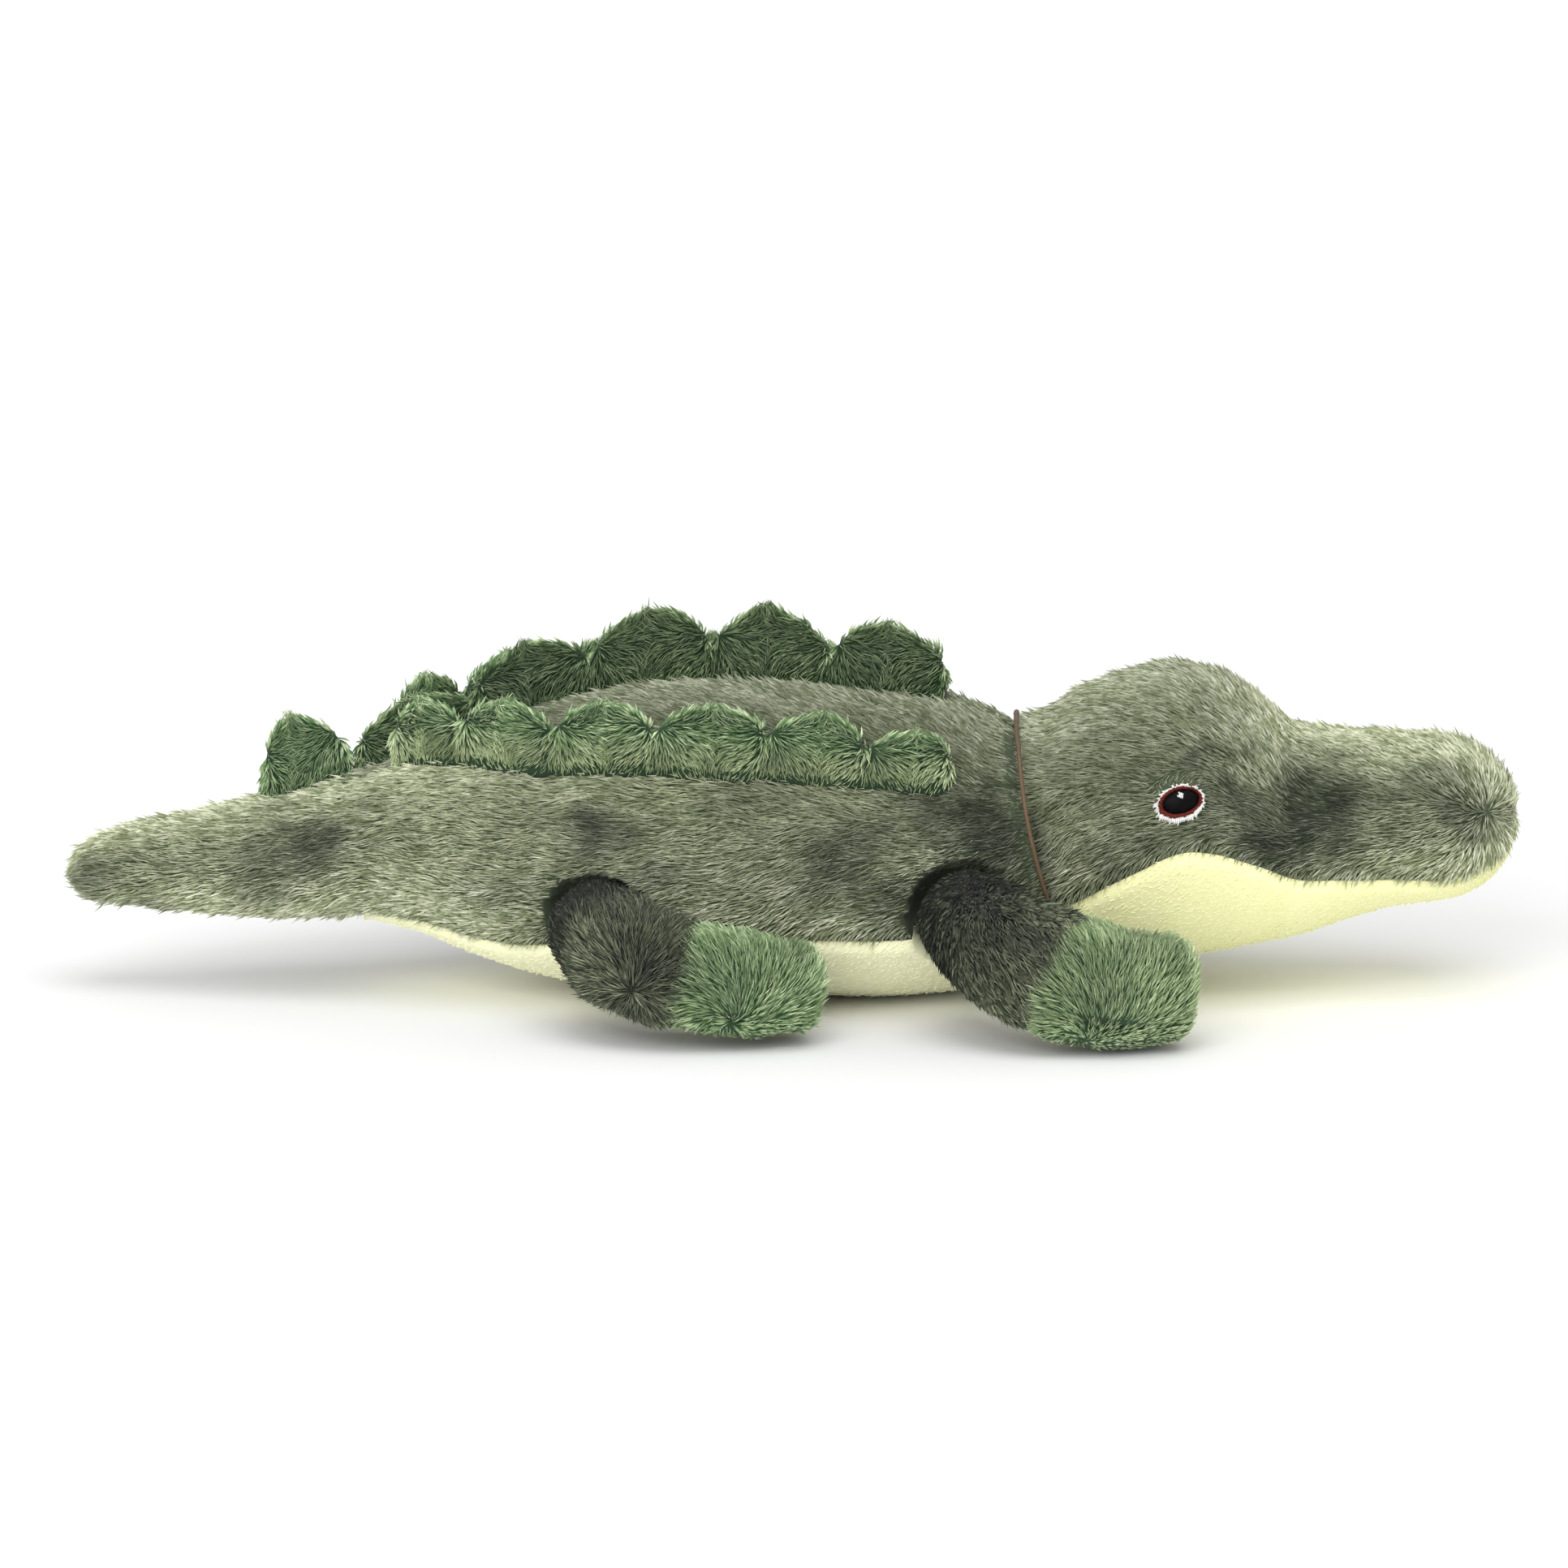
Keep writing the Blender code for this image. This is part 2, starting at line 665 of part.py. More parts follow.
# Legs
class Leg:
    """A left leg as rings along a path from its root, out, round the elbow and on to the toe. The
    root end is half a ball about the hinge, and the toe end rounds off as a superellipse does."""

    def __init__(
        self, root_share, root_height, elbow, ankle, toe, radii, toe_height, tilt_share, seam_share
    ):
        x = tail_root_x + root_share * torso_length
        level = abs(root_height - middle_at(x)) / half_height_at(x)
        y = half_width_at(x) * (1 - level**roundness) ** (1 / roundness) + root_stand_off
        self.root = np.array([x, y, root_height])
        path = [(0, 0, root_height), elbow, ankle, (*toe, toe_rise + toe_height / 2 - floor_press)]
        path = np.array(path) + (x, y, 0)
        runs = np.linalg.norm(np.diff(path, axis=0), axis=1)
        places = np.concatenate([[0], np.cumsum(runs)])
        self.ankle = places[2]
        self.end = places[3]
        self.seam = self.ankle * seam_share
        self.path = [smooth_curve(places, values) for values in path.T]
        middle = self.ankle + (self.end - self.ankle) * foot_middle_share
        knots = [*places[:3], middle, self.end]
        self.half_width = smooth_curve(knots, [*radii, foot_width / 2, toe_width / 2])
        self.half_height = smooth_curve(knots, [*radii, foot_height / 2, toe_height / 2])
        self.tilt = smooth_curve(knots, [0, tilt_share / 2, tilt_share, tilt_share / 2, 0])
        self.radius = radii[0]

    def point(self, place):
        return np.stack([curve(place) for curve in self.path], axis=-1)

    def ahead(self, place):
        """The path's direction, seen from above."""
        low = np.clip(place - probe_length, 0, self.end - 2 * probe_length)
        step = self.point(low + 2 * probe_length) - self.point(low)
        return unit(step * (1, 1, 0))

    def ring(self, place, angles, depth, swell=1, shift=0):
        """One ring at a distance along the path: a circle at the root that turns into the foot's
        superellipse and leans forward at the ankle, swelled by a factor and shifted the way that
        the path runs there."""
        ahead = self.ahead(place)
        upright = np.array([0, 0, 1])
        side = np.cross(upright, ahead)
        exponent = 2 / (2 + (foot_roundness - 2) * min(place / self.ankle, 1))
        radians = np.radians(angles)
        wide = (self.half_width(place) - depth) * swell * power(np.cos(radians), exponent)
        high = (self.half_height(place) - depth) * swell * power(np.sin(radians), exponent)
        leaning = upright + self.tilt(place) * ahead
        points = self.point(place) + shift * ahead + wide[:, None] * side + high[:, None] * leaning
        points[:, 2] = np.maximum(points[:, 2], depth)
        return points

    def root_rings(self, angles, depth):
        rings = []
        for turn in np.radians(dome_angles):
            reach = (self.radius - depth) * math.sin(turn)
            rings.append(self.ring(0, angles, depth, math.cos(turn), reach))
        return rings

    def toe_rings(self, angles, depth):
        rings = []
        for turn in np.radians(toe_angles):
            reach = (toe_cap - depth) * math.sin(turn) ** (2 / foot_roundness)
            swell = math.cos(turn) ** (2 / foot_roundness)
            rings.append(self.ring(self.end, angles, depth, swell, reach))
        return rings

    def sleeve_grid(self, angles, depth, gap=0):
        places = (self.seam - gap) * np.array(sleeve_station_shares)
        return np.array(self.root_rings(angles, depth) + [self.ring(p, angles, depth) for p in places])

    def foot_grid(self, angles, depth, gap=0):
        start = self.seam + gap
        places = start + (self.end - start) * np.array(foot_station_shares)
        return np.array([self.ring(p, angles, depth) for p in places] + self.toe_rings(angles, depth))

    def socket_rings(self):
        """The space that the root and the sleeve sweep through, with the joint's gap round it. Each
        ring's rear half is turned fully outward and its front half fully inward, and its top and
        bottom points fill in between."""
        sweep = np.linspace(leg_outward_sweep, -leg_inward_sweep, sweep_steps)
        halves = np.linspace(-90, 90, socket_sides), np.linspace(90, 270, socket_sides)
        places = socket_reach * np.array(socket_station_shares)

        def tube(angles, turn):
            rings = np.array([self.ring(place, np.array(angles), -joint_gap) for place in places])
            return turned(rings, self.root, turn)

        tops = [tube([90], turn) for turn in sweep[1:-1]]
        bottoms = [tube([-90], turn) for turn in sweep[-2:0:-1]]
        rings = [tube(halves[0], sweep[0]), *tops, tube(halves[1], sweep[-1]), *bottoms]
        rings = np.concatenate(rings, axis=1)
        inwards = turned(self.root - self.ahead(0), self.root, (sweep[0] + sweep[-1]) / 2) - self.root
        reach = self.radius + joint_gap
        caps = closing_rings(rings[0], self.root, reach, inwards, socket_cap_shares)
        return np.concatenate([caps[::-1], rings])


def turned(points, centre, degrees):
    """Points turned about an upright axis, anticlockwise from above."""
    cosine = math.cos(math.radians(degrees))
    sine = math.sin(math.radians(degrees))
    turn = np.array([[cosine, -sine, 0], [sine, cosine, 0], [0, 0, 1]])
    return (points - centre) @ turn.T + centre


def add_leg(name, leg, mirror, sleeve_material, foot_material, wadding_material):
    """The four pieces of one leg on its hinge."""
    place_side = other_side if mirror else np.array
    hinge = add_hinge(f"{name}_hinge", place_side(leg.root))
    trim = math.degrees(seam_gap / foot_height)
    round_angles = np.array(foot_top_angles[:-1] + foot_sole_angles[:-1], float)
    top_angles = np.array(foot_top_angles, float)
    top_angles[[0, -1]] += (trim, -trim)
    sole_angles = np.array(foot_sole_angles, float)
    sole_angles[[0, -1]] += (trim, -trim)
    half_gap = seam_gap / 2
    depths = (0, skin_thickness)
    sleeve = [place_side(leg.sleeve_grid(round_angles, depth, half_gap)) for depth in depths]
    add_piece(f"{name}_sleeve_skin", shell(*sleeve, wrap=True), sleeve_material, hinge)
    for part, angles in (("top", top_angles), ("sole", sole_angles)):
        foot = [place_side(leg.foot_grid(angles, depth, half_gap)) for depth in depths]
        add_piece(f"{name}_foot_{part}_skin", shell(*foot), foot_material, hinge)
    sleeve_rings = leg.sleeve_grid(round_angles, wadding_depth)
    foot_rings = leg.foot_grid(round_angles, wadding_depth)
    rings = np.concatenate([sleeve_rings[1:], foot_rings[1:]])
    add_piece(f"{name}_wadding", lofted(place_side(rings)), wadding_material, hinge)


# Eyes
def eye_band(outer_axes, inner_axes, centre, low, mirror):
    """A band of thread between two like ellipses, bent to the cheek, its underside at a height."""
    turn = np.radians(np.arange(eye_steps) * 360 / eye_steps)
    tilt = math.radians(eye_tilt)
    x = neck_x + eye_share * head_length
    grids = []
    for height in (low + thread_height, low):
        rows = []
        for length, width in (outer_axes, inner_axes):
            major = length * np.cos(turn)
            minor = width * np.sin(turn)
            forward = centre[0] + major * math.cos(tilt) - minor * math.sin(tilt)
            upward = centre[1] + major * math.sin(tilt) + minor * math.cos(tilt)
            angle = eye_angle + arc_angle(x, eye_angle, upward)
            rows.append(trunk(x + forward, angle, -height))
        grids.append(np.array(rows))
    if mirror:
        grids = [other_side(grid) for grid in grids]
    return shell(*grids, wrap=True)


def add_eye(side, mirror, materials, hinge):
    axes = np.array([eye_length / 2, eye_height / 2])
    border_inside = axes - eye_border
    ring_outside = border_inside - thread_gap
    ring_inside = ring_outside - eye_ring
    pupil_outside = ring_inside - thread_gap
    highlight_axes = (highlight_length / 2, highlight_height / 2)
    on_pupil = 2 * seam_gap + thread_height
    point = (0, 0)
    bands = (
        ("border", axes, border_inside, point, seam_gap),
        ("ring", ring_outside, ring_inside, point, seam_gap),
        ("pupil", pupil_outside, point, point, seam_gap),
        ("highlight", highlight_axes, point, highlight_place, on_pupil),
    )
    for band, outside, inside, centre, low in bands:
        mesh = eye_band(outside, inside, centre, low, mirror)
        add_piece(f"eye_{band}_{side}", mesh, materials[band], hinge)


# Neck cord and pellet pouch
def add_neck_cord(material):
    """A ring of cord in the crease behind the neck seam, lying on the torso's skin."""
    angles = np.arange(cord_steps) * 360 / cord_steps
    x = neck_ball.seam_x(lambda _: angles, 0, joint_gap) - cord_setback
    points = trunk(x, angles, -(cord_stand_off + cord_diameter / 2))
    curve = bpy.data.curves.new("neck_cord", "CURVE")
    curve.dimensions = "3D"
    spline = curve.splines.new("POLY")
    spline.points.add(cord_steps - 1)
    spline.use_cyclic_u = True
    for knot, point in zip(spline.points, points):
        knot.co = (*point, 1)
    curve.bevel_depth = cord_diameter / 2
    curve.bevel_resolution = 2
    curve.materials.append(material)
    cord = bpy.data.objects.new("neck_cord", curve)
    bpy.context.scene.collection.objects.link(cord)


def pouch_rings(extra, floor):
    """A flat pillow of ellipses, larger by extra, cut off at a floor."""
    centre_x = tail_root_x + pouch_share * torso_length
    middle = wadding_depth + pouch_height / 2 - floor_press
    round_angles = np.radians(np.arange(pouch_sides) * 360 / pouch_sides)
    rings = []
    for turn in np.radians(pouch_angles):
        swell = math.cos(turn) ** (2 / roundness)
        x = centre_x + (pouch_length / 2 + extra) * math.sin(turn)
        y = (pouch_width / 2 + extra) * swell * np.cos(round_angles)
        z = middle + (pouch_height / 2 + extra) * swell * np.sin(round_angles)
        rings.append(np.stack([np.full_like(y, x), y, np.maximum(z, floor)], axis=-1))
    return rings


# The whole toy
def torso_panels():
    """The torso's skins in order round the body, from the left belly seam over the back."""
    spine = straight_seam(90.0)
    spine_gap = flange_gap(spine_rear_x, spine_front_x)
    side_gap = flange_gap(side_rear_x, side_front_x)
    flank = even_shares(flank_columns)
    back = even_shares(back_columns)
    right_crest = mirrored(crest_seam)
    right_belly = mirrored(belly_seam)
    return (
        Panel("flank_left_skin", belly_seam, crest_seam, plain_gap, side_gap, flank),
        Panel("back_left_skin", crest_seam, spine, side_gap, spine_gap, back),
        Panel("back_right_skin", spine, right_crest, spine_gap, side_gap, back),
        Panel("flank_right_skin", right_crest, right_belly, side_gap, plain_gap, flank),
        Panel("belly_skin", right_belly, a_turn_on(belly_seam), plain_gap, plain_gap, belly_column_shares),
    )


def head_panels():
    crown = straight_seam(90.0)
    right_chin = mirrored(chin_seam)
    cheek = even_shares(cheek_columns)
    chin = even_shares(chin_columns)
    return (
        Panel("head_left_skin", chin_seam, crown, plain_gap, plain_gap, cheek),
        Panel("head_right_skin", crown, right_chin, plain_gap, plain_gap, cheek),
        Panel("chin_skin", right_chin, a_turn_on(chin_seam), plain_gap, plain_gap, chin),
    )


def tail_panels(scute_rear_x, scute_front_x):
    keel = straight_seam(-90.0)
    ridge = straight_seam(90.0)
    ridge_gap = flange_gap(scute_rear_x, scute_front_x)
    columns = even_shares(tail_columns)
    return (
        Panel("tail_left_skin", keel, ridge, plain_gap, ridge_gap, columns),
        Panel("tail_right_skin", ridge, a_turn_on(keel), ridge_gap, plain_gap, columns),
    )


def build_torso(legs, materials):
    panels = torso_panels()
    pieces = add_skins(panels, torso_grid, joint_gap, materials)
    grid = wadding_grid(panels, torso_grid, wadding_joint_gap)
    hollows = tail_ball.cap(grid[0], wadding_joint_gap)[::-1], neck_ball.cap(grid[-1], wadding_joint_gap)
    mesh = lofted(np.concatenate([hollows[0], grid, hollows[1]]))
    wadding = add_piece("torso_wadding", mesh, materials["wadding"])
    sockets = {side: add_group(f"{side}_sockets") for side in ("left", "right")}
    for name, leg in legs.items():
        rings = leg.socket_rings()
        add_cutter(f"{name}_left_socket", lofted(rings), sockets["left"])
        add_cutter(f"{name}_right_socket", lofted(other_side(rings)), sockets["right"])
    pocket = add_group("pouch_pocket")
    add_cutter("pocket", lofted(pouch_rings(seam_gap, -pouch_height)), pocket)
    for side, group in sockets.items():
        for piece in (pieces[f"flank_{side}_skin"], pieces["belly_skin"], wadding):
            cut(piece, group)
    cut(wadding, pocket)
    add_piece("pellet_pouch", lofted(pouch_rings(0, wadding_depth)), materials["pouch"])
    add_neck_cord(materials["cord"])


def build_crests(materials, tail_hinge, tail_scute_x):
    pitches = np.ones(len(spine_scute_shares))
    x = scute_places(spine_front_x, spine_front_x - spine_rear_x, pitches)
    heights = scute_heights(spine_scute_shares, spine_peak_height, spine_valley_height)
    spine = straight_seam(90.0)
    add_piece("spine_crest", crest_mesh(x, spine, heights, spine_thickness), materials["crest"])
    x = scute_places(side_front_x, side_length, side_pitch_shares)
    heights = scute_heights(side_scute_shares, side_peak_height, side_valley_height)
    for side, mirror in (("left", False), ("right", True)):
        mesh = crest_mesh(x, crest_seam, heights, side_thickness, mirror)
        add_piece(f"side_crest_{side}", mesh, materials["crest"])
    heights = scute_heights((1,), tail_scute_peak_height, tail_scute_valley_height)
    mesh = crest_mesh(tail_scute_x, spine, heights, spine_thickness)
    add_piece("tail_scute", mesh, materials["crest"], tail_hinge)


def build_head(materials):
    hinge = add_hinge("head_hinge", neck_ball.centre)
    panels = head_panels()
    add_skins(panels, head_grid, 0, materials, hinge)
    grid = wadding_grid(panels, head_grid, 0)
    rings = np.concatenate([neck_ball.cap(grid[0], 0)[::-1], grid])
    add_piece("head_wadding", lofted(rings), materials["wadding"], hinge)
    for side, mirror in (("left", False), ("right", True)):
        add_eye(side, mirror, materials, hinge)


def build_tail(materials, hinge, panels):
    add_skins(panels, tail_grid, 0, materials, hinge)
    grid = wadding_grid(panels, tail_grid, 0)
    rings = np.concatenate([tail_ball.cap(grid[0], 0)[::-1], grid])
    add_piece("tail_wadding", lofted(rings), materials["wadding"], hinge)


def build():
    for piece in list(bpy.data.objects):
        bpy.data.objects.remove(piece)

    body_fur = cloth("body_fur", (0.165, 0.200, 0.125), 0.9)
    belly_plush = cloth("belly_plush", (0.840, 0.840, 0.440), 0.85)
    dark_fur = cloth("dark_fur", (0.055, 0.072, 0.048), 0.9)
    green_fur = cloth("green_fur", (0.080, 0.225, 0.080), 0.9)
    materials = {name: body_fur for name in body_fur_names}
    materials |= {"belly_skin": belly_plush, "chin_skin": belly_plush, "crest": green_fur}
    materials["wadding"] = cloth("polyester_wadding", (0.85, 0.85, 0.82), 0.95)
    materials["pouch"] = cloth("pouch_cloth", (0.60, 0.60, 0.58), 0.8)
    materials["cord"] = cloth("waxed_cord", (0.26, 0.17, 0.09), 0.6)
    materials["border"] = cloth("white_thread", (0.90, 0.90, 0.90), 0.4)
    materials["ring"] = cloth("brown_thread", (0.16, 0.03, 0.025), 0.4)
    materials["pupil"] = cloth("black_thread", (0.008, 0.008, 0.008), 0.35)
    materials["highlight"] = materials["border"]

    tail_hinge = add_hinge("tail_hinge", tail_ball.centre)
    ridge = tail_ball.seam_x(straight_seam(90.0), 0, 0) - tail_scute_setback
    tail_scute_x = scute_places(float(ridge), tail_scute_length, (1,))
    legs = {
        "hind_leg": Leg(
            hind_root_share,
            hind_root_height,
            hind_elbow,
            hind_ankle,
            hind_toe,
            hind_radii,
            hind_toe_height,
            hind_tilt_share,
            hind_seam_share,
        ),
        "front_leg": Leg(
            front_root_share,
            front_root_height,
            front_elbow,
            front_ankle,
            front_toe,
            front_radii,
            front_toe_height,
            front_tilt_share,
            front_seam_share,
        ),
    }
    build_torso(legs, materials)
    build_crests(materials, tail_hinge, tail_scute_x)
    build_head(materials)
    build_tail(materials, tail_hinge, tail_panels(tail_scute_x[-1], tail_scute_x[0]))
    for name, leg in legs.items():
        for side, mirror in (("left", False), ("right", True)):
            add_leg(f"{name}_{side}", leg, mirror, dark_fur, green_fur, materials["wadding"])


build()
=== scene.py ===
# %% [markdown]
# # A plush crocodile, from cloth to fur
# The toy is a bag of fur fabric stuffed with fibre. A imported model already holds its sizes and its
# joints, so this file only makes what the eye sees: each skin panel as cloth with its own pile on it,
# the padded crests, the embroidered eyes and the cord. Every piece is a surface worked out with numpy
# from two parameters, and every hair is a small closed spike, so that the outline is furry as well.
# Sizes are in metres. The nose points along x, the toy's left side is at positive y, and z is up.

import json
import math
from collections import namedtuple

import bpy
import numpy as np
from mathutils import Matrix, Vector


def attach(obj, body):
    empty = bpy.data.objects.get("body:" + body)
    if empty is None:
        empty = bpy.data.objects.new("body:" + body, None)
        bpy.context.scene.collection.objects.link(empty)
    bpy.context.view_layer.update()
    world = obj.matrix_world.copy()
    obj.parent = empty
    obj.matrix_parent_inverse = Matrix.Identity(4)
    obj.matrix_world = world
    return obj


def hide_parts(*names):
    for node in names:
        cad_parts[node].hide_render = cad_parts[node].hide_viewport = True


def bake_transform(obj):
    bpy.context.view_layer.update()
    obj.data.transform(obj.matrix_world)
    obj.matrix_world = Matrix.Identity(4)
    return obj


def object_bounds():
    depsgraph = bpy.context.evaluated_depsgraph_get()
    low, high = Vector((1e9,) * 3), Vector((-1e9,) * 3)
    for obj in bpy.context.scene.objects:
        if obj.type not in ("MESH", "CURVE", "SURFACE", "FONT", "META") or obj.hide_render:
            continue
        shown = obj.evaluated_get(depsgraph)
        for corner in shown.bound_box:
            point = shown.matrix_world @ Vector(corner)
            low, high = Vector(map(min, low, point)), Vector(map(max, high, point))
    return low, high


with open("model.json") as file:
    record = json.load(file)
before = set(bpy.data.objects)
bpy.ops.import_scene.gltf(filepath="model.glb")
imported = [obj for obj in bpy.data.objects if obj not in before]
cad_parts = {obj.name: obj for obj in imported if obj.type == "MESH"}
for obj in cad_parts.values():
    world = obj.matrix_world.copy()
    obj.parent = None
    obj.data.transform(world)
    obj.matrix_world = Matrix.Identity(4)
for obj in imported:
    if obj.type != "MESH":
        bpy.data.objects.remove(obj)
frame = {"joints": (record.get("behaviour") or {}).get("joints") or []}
cad_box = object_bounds()
cad_low, cad_high = (np.array(corner) for corner in cad_box)
hinges = {joint["name"]: np.array(joint["pos_m"]) for joint in frame["joints"]}
print("box of the model, mm:", np.round((cad_high - cad_low) * 1000, 1))

# %% [markdown]
# ## The camera
# The photograph looks at the toy's right side from a little above, through a very long lens: the feet
# that stand nearer aren't drawn larger. The toy is 330 mm long and fills 1790 of the picture's 1932
# pixels, and that sets how wide the view is.

# %% Camera
PHOTO_PIXELS = 1932
PIXELS_PER_METRE = 5420
MIDDLE_X = -0.0020
MIDDLE_HEIGHT = 0.0475
CAMERA_ELEVATION = math.radians(12)
CAMERA_DISTANCE = 6.0
SENSOR = 36.0

view_width = PHOTO_PIXELS / PIXELS_PER_METRE
target = Vector((MIDDLE_X, 0, MIDDLE_HEIGHT))
away = Vector((0, -math.cos(CAMERA_ELEVATION), math.sin(CAMERA_ELEVATION)))
lens = bpy.data.cameras.new("photo_camera")
lens.sensor_width = SENSOR
lens.lens = SENSOR * CAMERA_DISTANCE / view_width
lens.clip_start = 0.01
lens.clip_end = 40
camera = bpy.data.objects.new("photo_camera", lens)
bpy.context.scene.collection.objects.link(camera)
camera.location = target + away * CAMERA_DISTANCE
camera.rotation_mode = "QUATERNION"
camera.rotation_quaternion = (-away).to_track_quat("-Z", "Y")
bpy.context.scene.camera = camera
print("lens, mm:", round(lens.lens, 1))

# %% [markdown]
# ## Curves and noise
# Two tools serve everything below. A smooth curve runs through a few points without overshooting, so a
# short table of shares can draw the toy's outline. Soft noise gives lumps in the stuffing, tufts in the
# pile and blotches in the dye, each at its own real size.


# %% Smooth curves and soft noise
def smooth_curve(places, values):
    """A curve through the points that rises and falls only where they do: cubic pieces whose slope at
    each point is the harmonic mean of the slopes on its two sides, or 0 at a turn."""
    places = np.array(places, float)
    values = np.array(values, float)
    runs = np.diff(places)
    rates = np.diff(values) / runs
    before = 2 * runs[1:] + runs[:-1]
    after = runs[1:] + 2 * runs[:-1]
    divisors = np.where(rates == 0, 1, rates)
    means = (before + after) / (before / divisors[:-1] + after / divisors[1:])
    slopes = np.concatenate([rates[:1], np.where(rates[:-1] * rates[1:] > 0, means, 0), rates[-1:]])

    def value(place):
        place = np.clip(place, places[0], places[-1])
        i = np.clip(np.searchsorted(places, place) - 1, 0, len(runs) - 1)
        t = (place - places[i]) / runs[i]
        eased = values[i] + (values[i + 1] - values[i]) * t * t * (3 - 2 * t)
        return eased + runs[i] * t * (1 - t) * ((1 - t) * slopes[i] - t * slopes[i + 1])

    return value


# Large odd numbers that turn a lattice corner and a seed into a number that looks random
HASH_FACTORS = (73856093, 19349663, 83492791)
SEED_FACTOR = 2654435761
SCRAMBLE_FACTOR = 1274126177


def soft_noise(points, size, seed):
    """Smooth random numbers from -1 to 1: a cubic lattice of that size holds random values, and a point
    takes those of the eight corners round it with weights 3t^2 - 2t^3."""
    scaled = points / size
    cell = np.floor(scaled)
    t = scaled - cell
    t = t * t * (3 - 2 * t)
    cell = cell.astype(np.int64)
    total = np.zeros(points.shape[:-1])
    for corner in np.ndindex(2, 2, 2):
        mixed = ((cell + corner) * HASH_FACTORS).sum(-1) + seed * SEED_FACTOR
        mixed = (mixed ^ (mixed >> 13)) * SCRAMBLE_FACTOR
        value = ((mixed ^ (mixed >> 16)) & 0xFFFF) / 32767.5 - 1
        total += value * np.where(corner, t, 1 - t).prod(-1)
    return total


def unit(vectors):
    return vectors / np.maximum(np.linalg.norm(vectors, axis=-1, keepdims=True), 1e-12)


def dot(first, second):
    return (first * second).sum(-1, keepdims=True)


def mix(first, second, share):
    return first + (second - first) * share


def fade(value, low, high):
    """0 below low, 1 above high, and 3t^2 - 2t^3 between them."""
    t = np.clip((value - low) / (high - low), 0, 1)
    return t * t * (3 - 2 * t)


# %% [markdown]
# ## The body's outline
# Tail, torso and head are one bag. At each place along it the section is a superellipse, whose top,
# underside and width come from three curves. The tables give them as shares of each part's own length,
# height and width, the same as in the model that this file dresses.

# %% Outline of the bag
TAIL_LENGTH = 0.067
TORSO_LENGTH = 0.153
HEAD_LENGTH = 0.110
TAIL_RISE = 0.0155
TAIL_HEIGHT = 0.0375
TAIL_WIDTH = 0.040
TORSO_HEIGHT = 0.0735
TORSO_WIDTH = 0.090
HEAD_RISE = 0.0055
HEAD_HEIGHT = 0.0710
HEAD_WIDTH = 0.072
FLOOR_PRESS = 0.0005
TAIL_CAP = 0.010
NOSE_CAP = 0.0205
ROUNDNESS = 2.2

tail_outline_shares = (
    (0.00, 0.54, 0.07, 0.42),
    (0.14, 0.61, 0.06, 0.50),
    (0.30, 0.67, 0.045, 0.60),
    (0.50, 0.75, 0.02, 0.72),
    (0.75, 0.86, 0.00, 0.90),
)
torso_outline_shares = (
    (0.00, 0.725, 0.224, 0.478),
    (0.065, 0.785, 0.200, 0.580),
    (0.18, 0.858, 0.112, 0.735),
    (0.25, 0.893, 0.066, 0.825),
    (0.36, 0.955, 0.020, 0.915),
    (0.50, 0.988, 0.002, 0.985),
    (0.60, 0.985, 0.000, 1.000),
    (0.75, 0.953, 0.000, 0.965),
    (0.87, 0.922, 0.005, 0.880),
    (0.95, 0.888, 0.032, 0.790),
    (1.00, 0.888, 0.058, 0.745),
)
head_outline_shares = (
    (0.09, 0.918, 0.005, 0.940),
    (0.19, 0.975, 0.020, 0.975),
    (0.285, 1.000, 0.033, 1.000),
    (0.38, 0.972, 0.054, 0.945),
    (0.47, 0.890, 0.080, 0.850),
    (0.55, 0.796, 0.104, 0.765),
    (0.64, 0.782, 0.145, 0.710),
    (0.76, 0.775, 0.195, 0.690),
    (0.88, 0.772, 0.215, 0.665),
    (1.00, 0.765, 0.210, 0.620),
)

tip_x = -(TAIL_LENGTH + TORSO_LENGTH + HEAD_LENGTH) / 2
tail_root_x = tip_x + TAIL_LENGTH
neck_x = tail_root_x + TORSO_LENGTH
nose_x = neck_x + HEAD_LENGTH
tail_cap_x = tip_x + TAIL_CAP
nose_cap_x = nose_x - NOSE_CAP


def outline():
    """Curves of the top, the underside and half the width along the whole bag."""
    parts = (
        (tail_outline_shares, tip_x, TAIL_LENGTH, TAIL_RISE, TAIL_HEIGHT, TAIL_WIDTH),
        (torso_outline_shares, tail_root_x, TORSO_LENGTH, 0, TORSO_HEIGHT, TORSO_WIDTH),
        (head_outline_shares, neck_x, HEAD_LENGTH, HEAD_RISE, HEAD_HEIGHT, HEAD_WIDTH),
    )
    rows = []
    for shares, start, length, rise, height, width in parts:
        press = FLOOR_PRESS if rise == 0 else 0
        for along, top, under, wide in shares:
            rows.append((start + along * length, rise + top * height, rise + under * height - press,
                         wide * width / 2))
    x, top, under, half_width = np.array(rows).T
    return smooth_curve(x, top), smooth_curve(x, under), smooth_curve(x, half_width)


top_at, under_at, half_width_at = outline()


def middle_at(x):
    return (top_at(x) + under_at(x)) / 2


def half_height_at(x):
    return (top_at(x) - under_at(x)) / 2


def power(value, exponent):
    return np.sign(value) * np.abs(value) ** exponent


RIDGE_RISE = 0.0018
RIDGE_REAR = (-0.078, -0.058)
RIDGE_FRONT = (0.030, 0.052)
RIDGE_SINES = (0.62, 1.0)


def ridge_rise(x):
    """How much the tight back panels stand up along the spine seam between the tail and the neck."""
    return RIDGE_RISE * fade(x, *RIDGE_REAR) * (1 - fade(x, *RIDGE_FRONT))


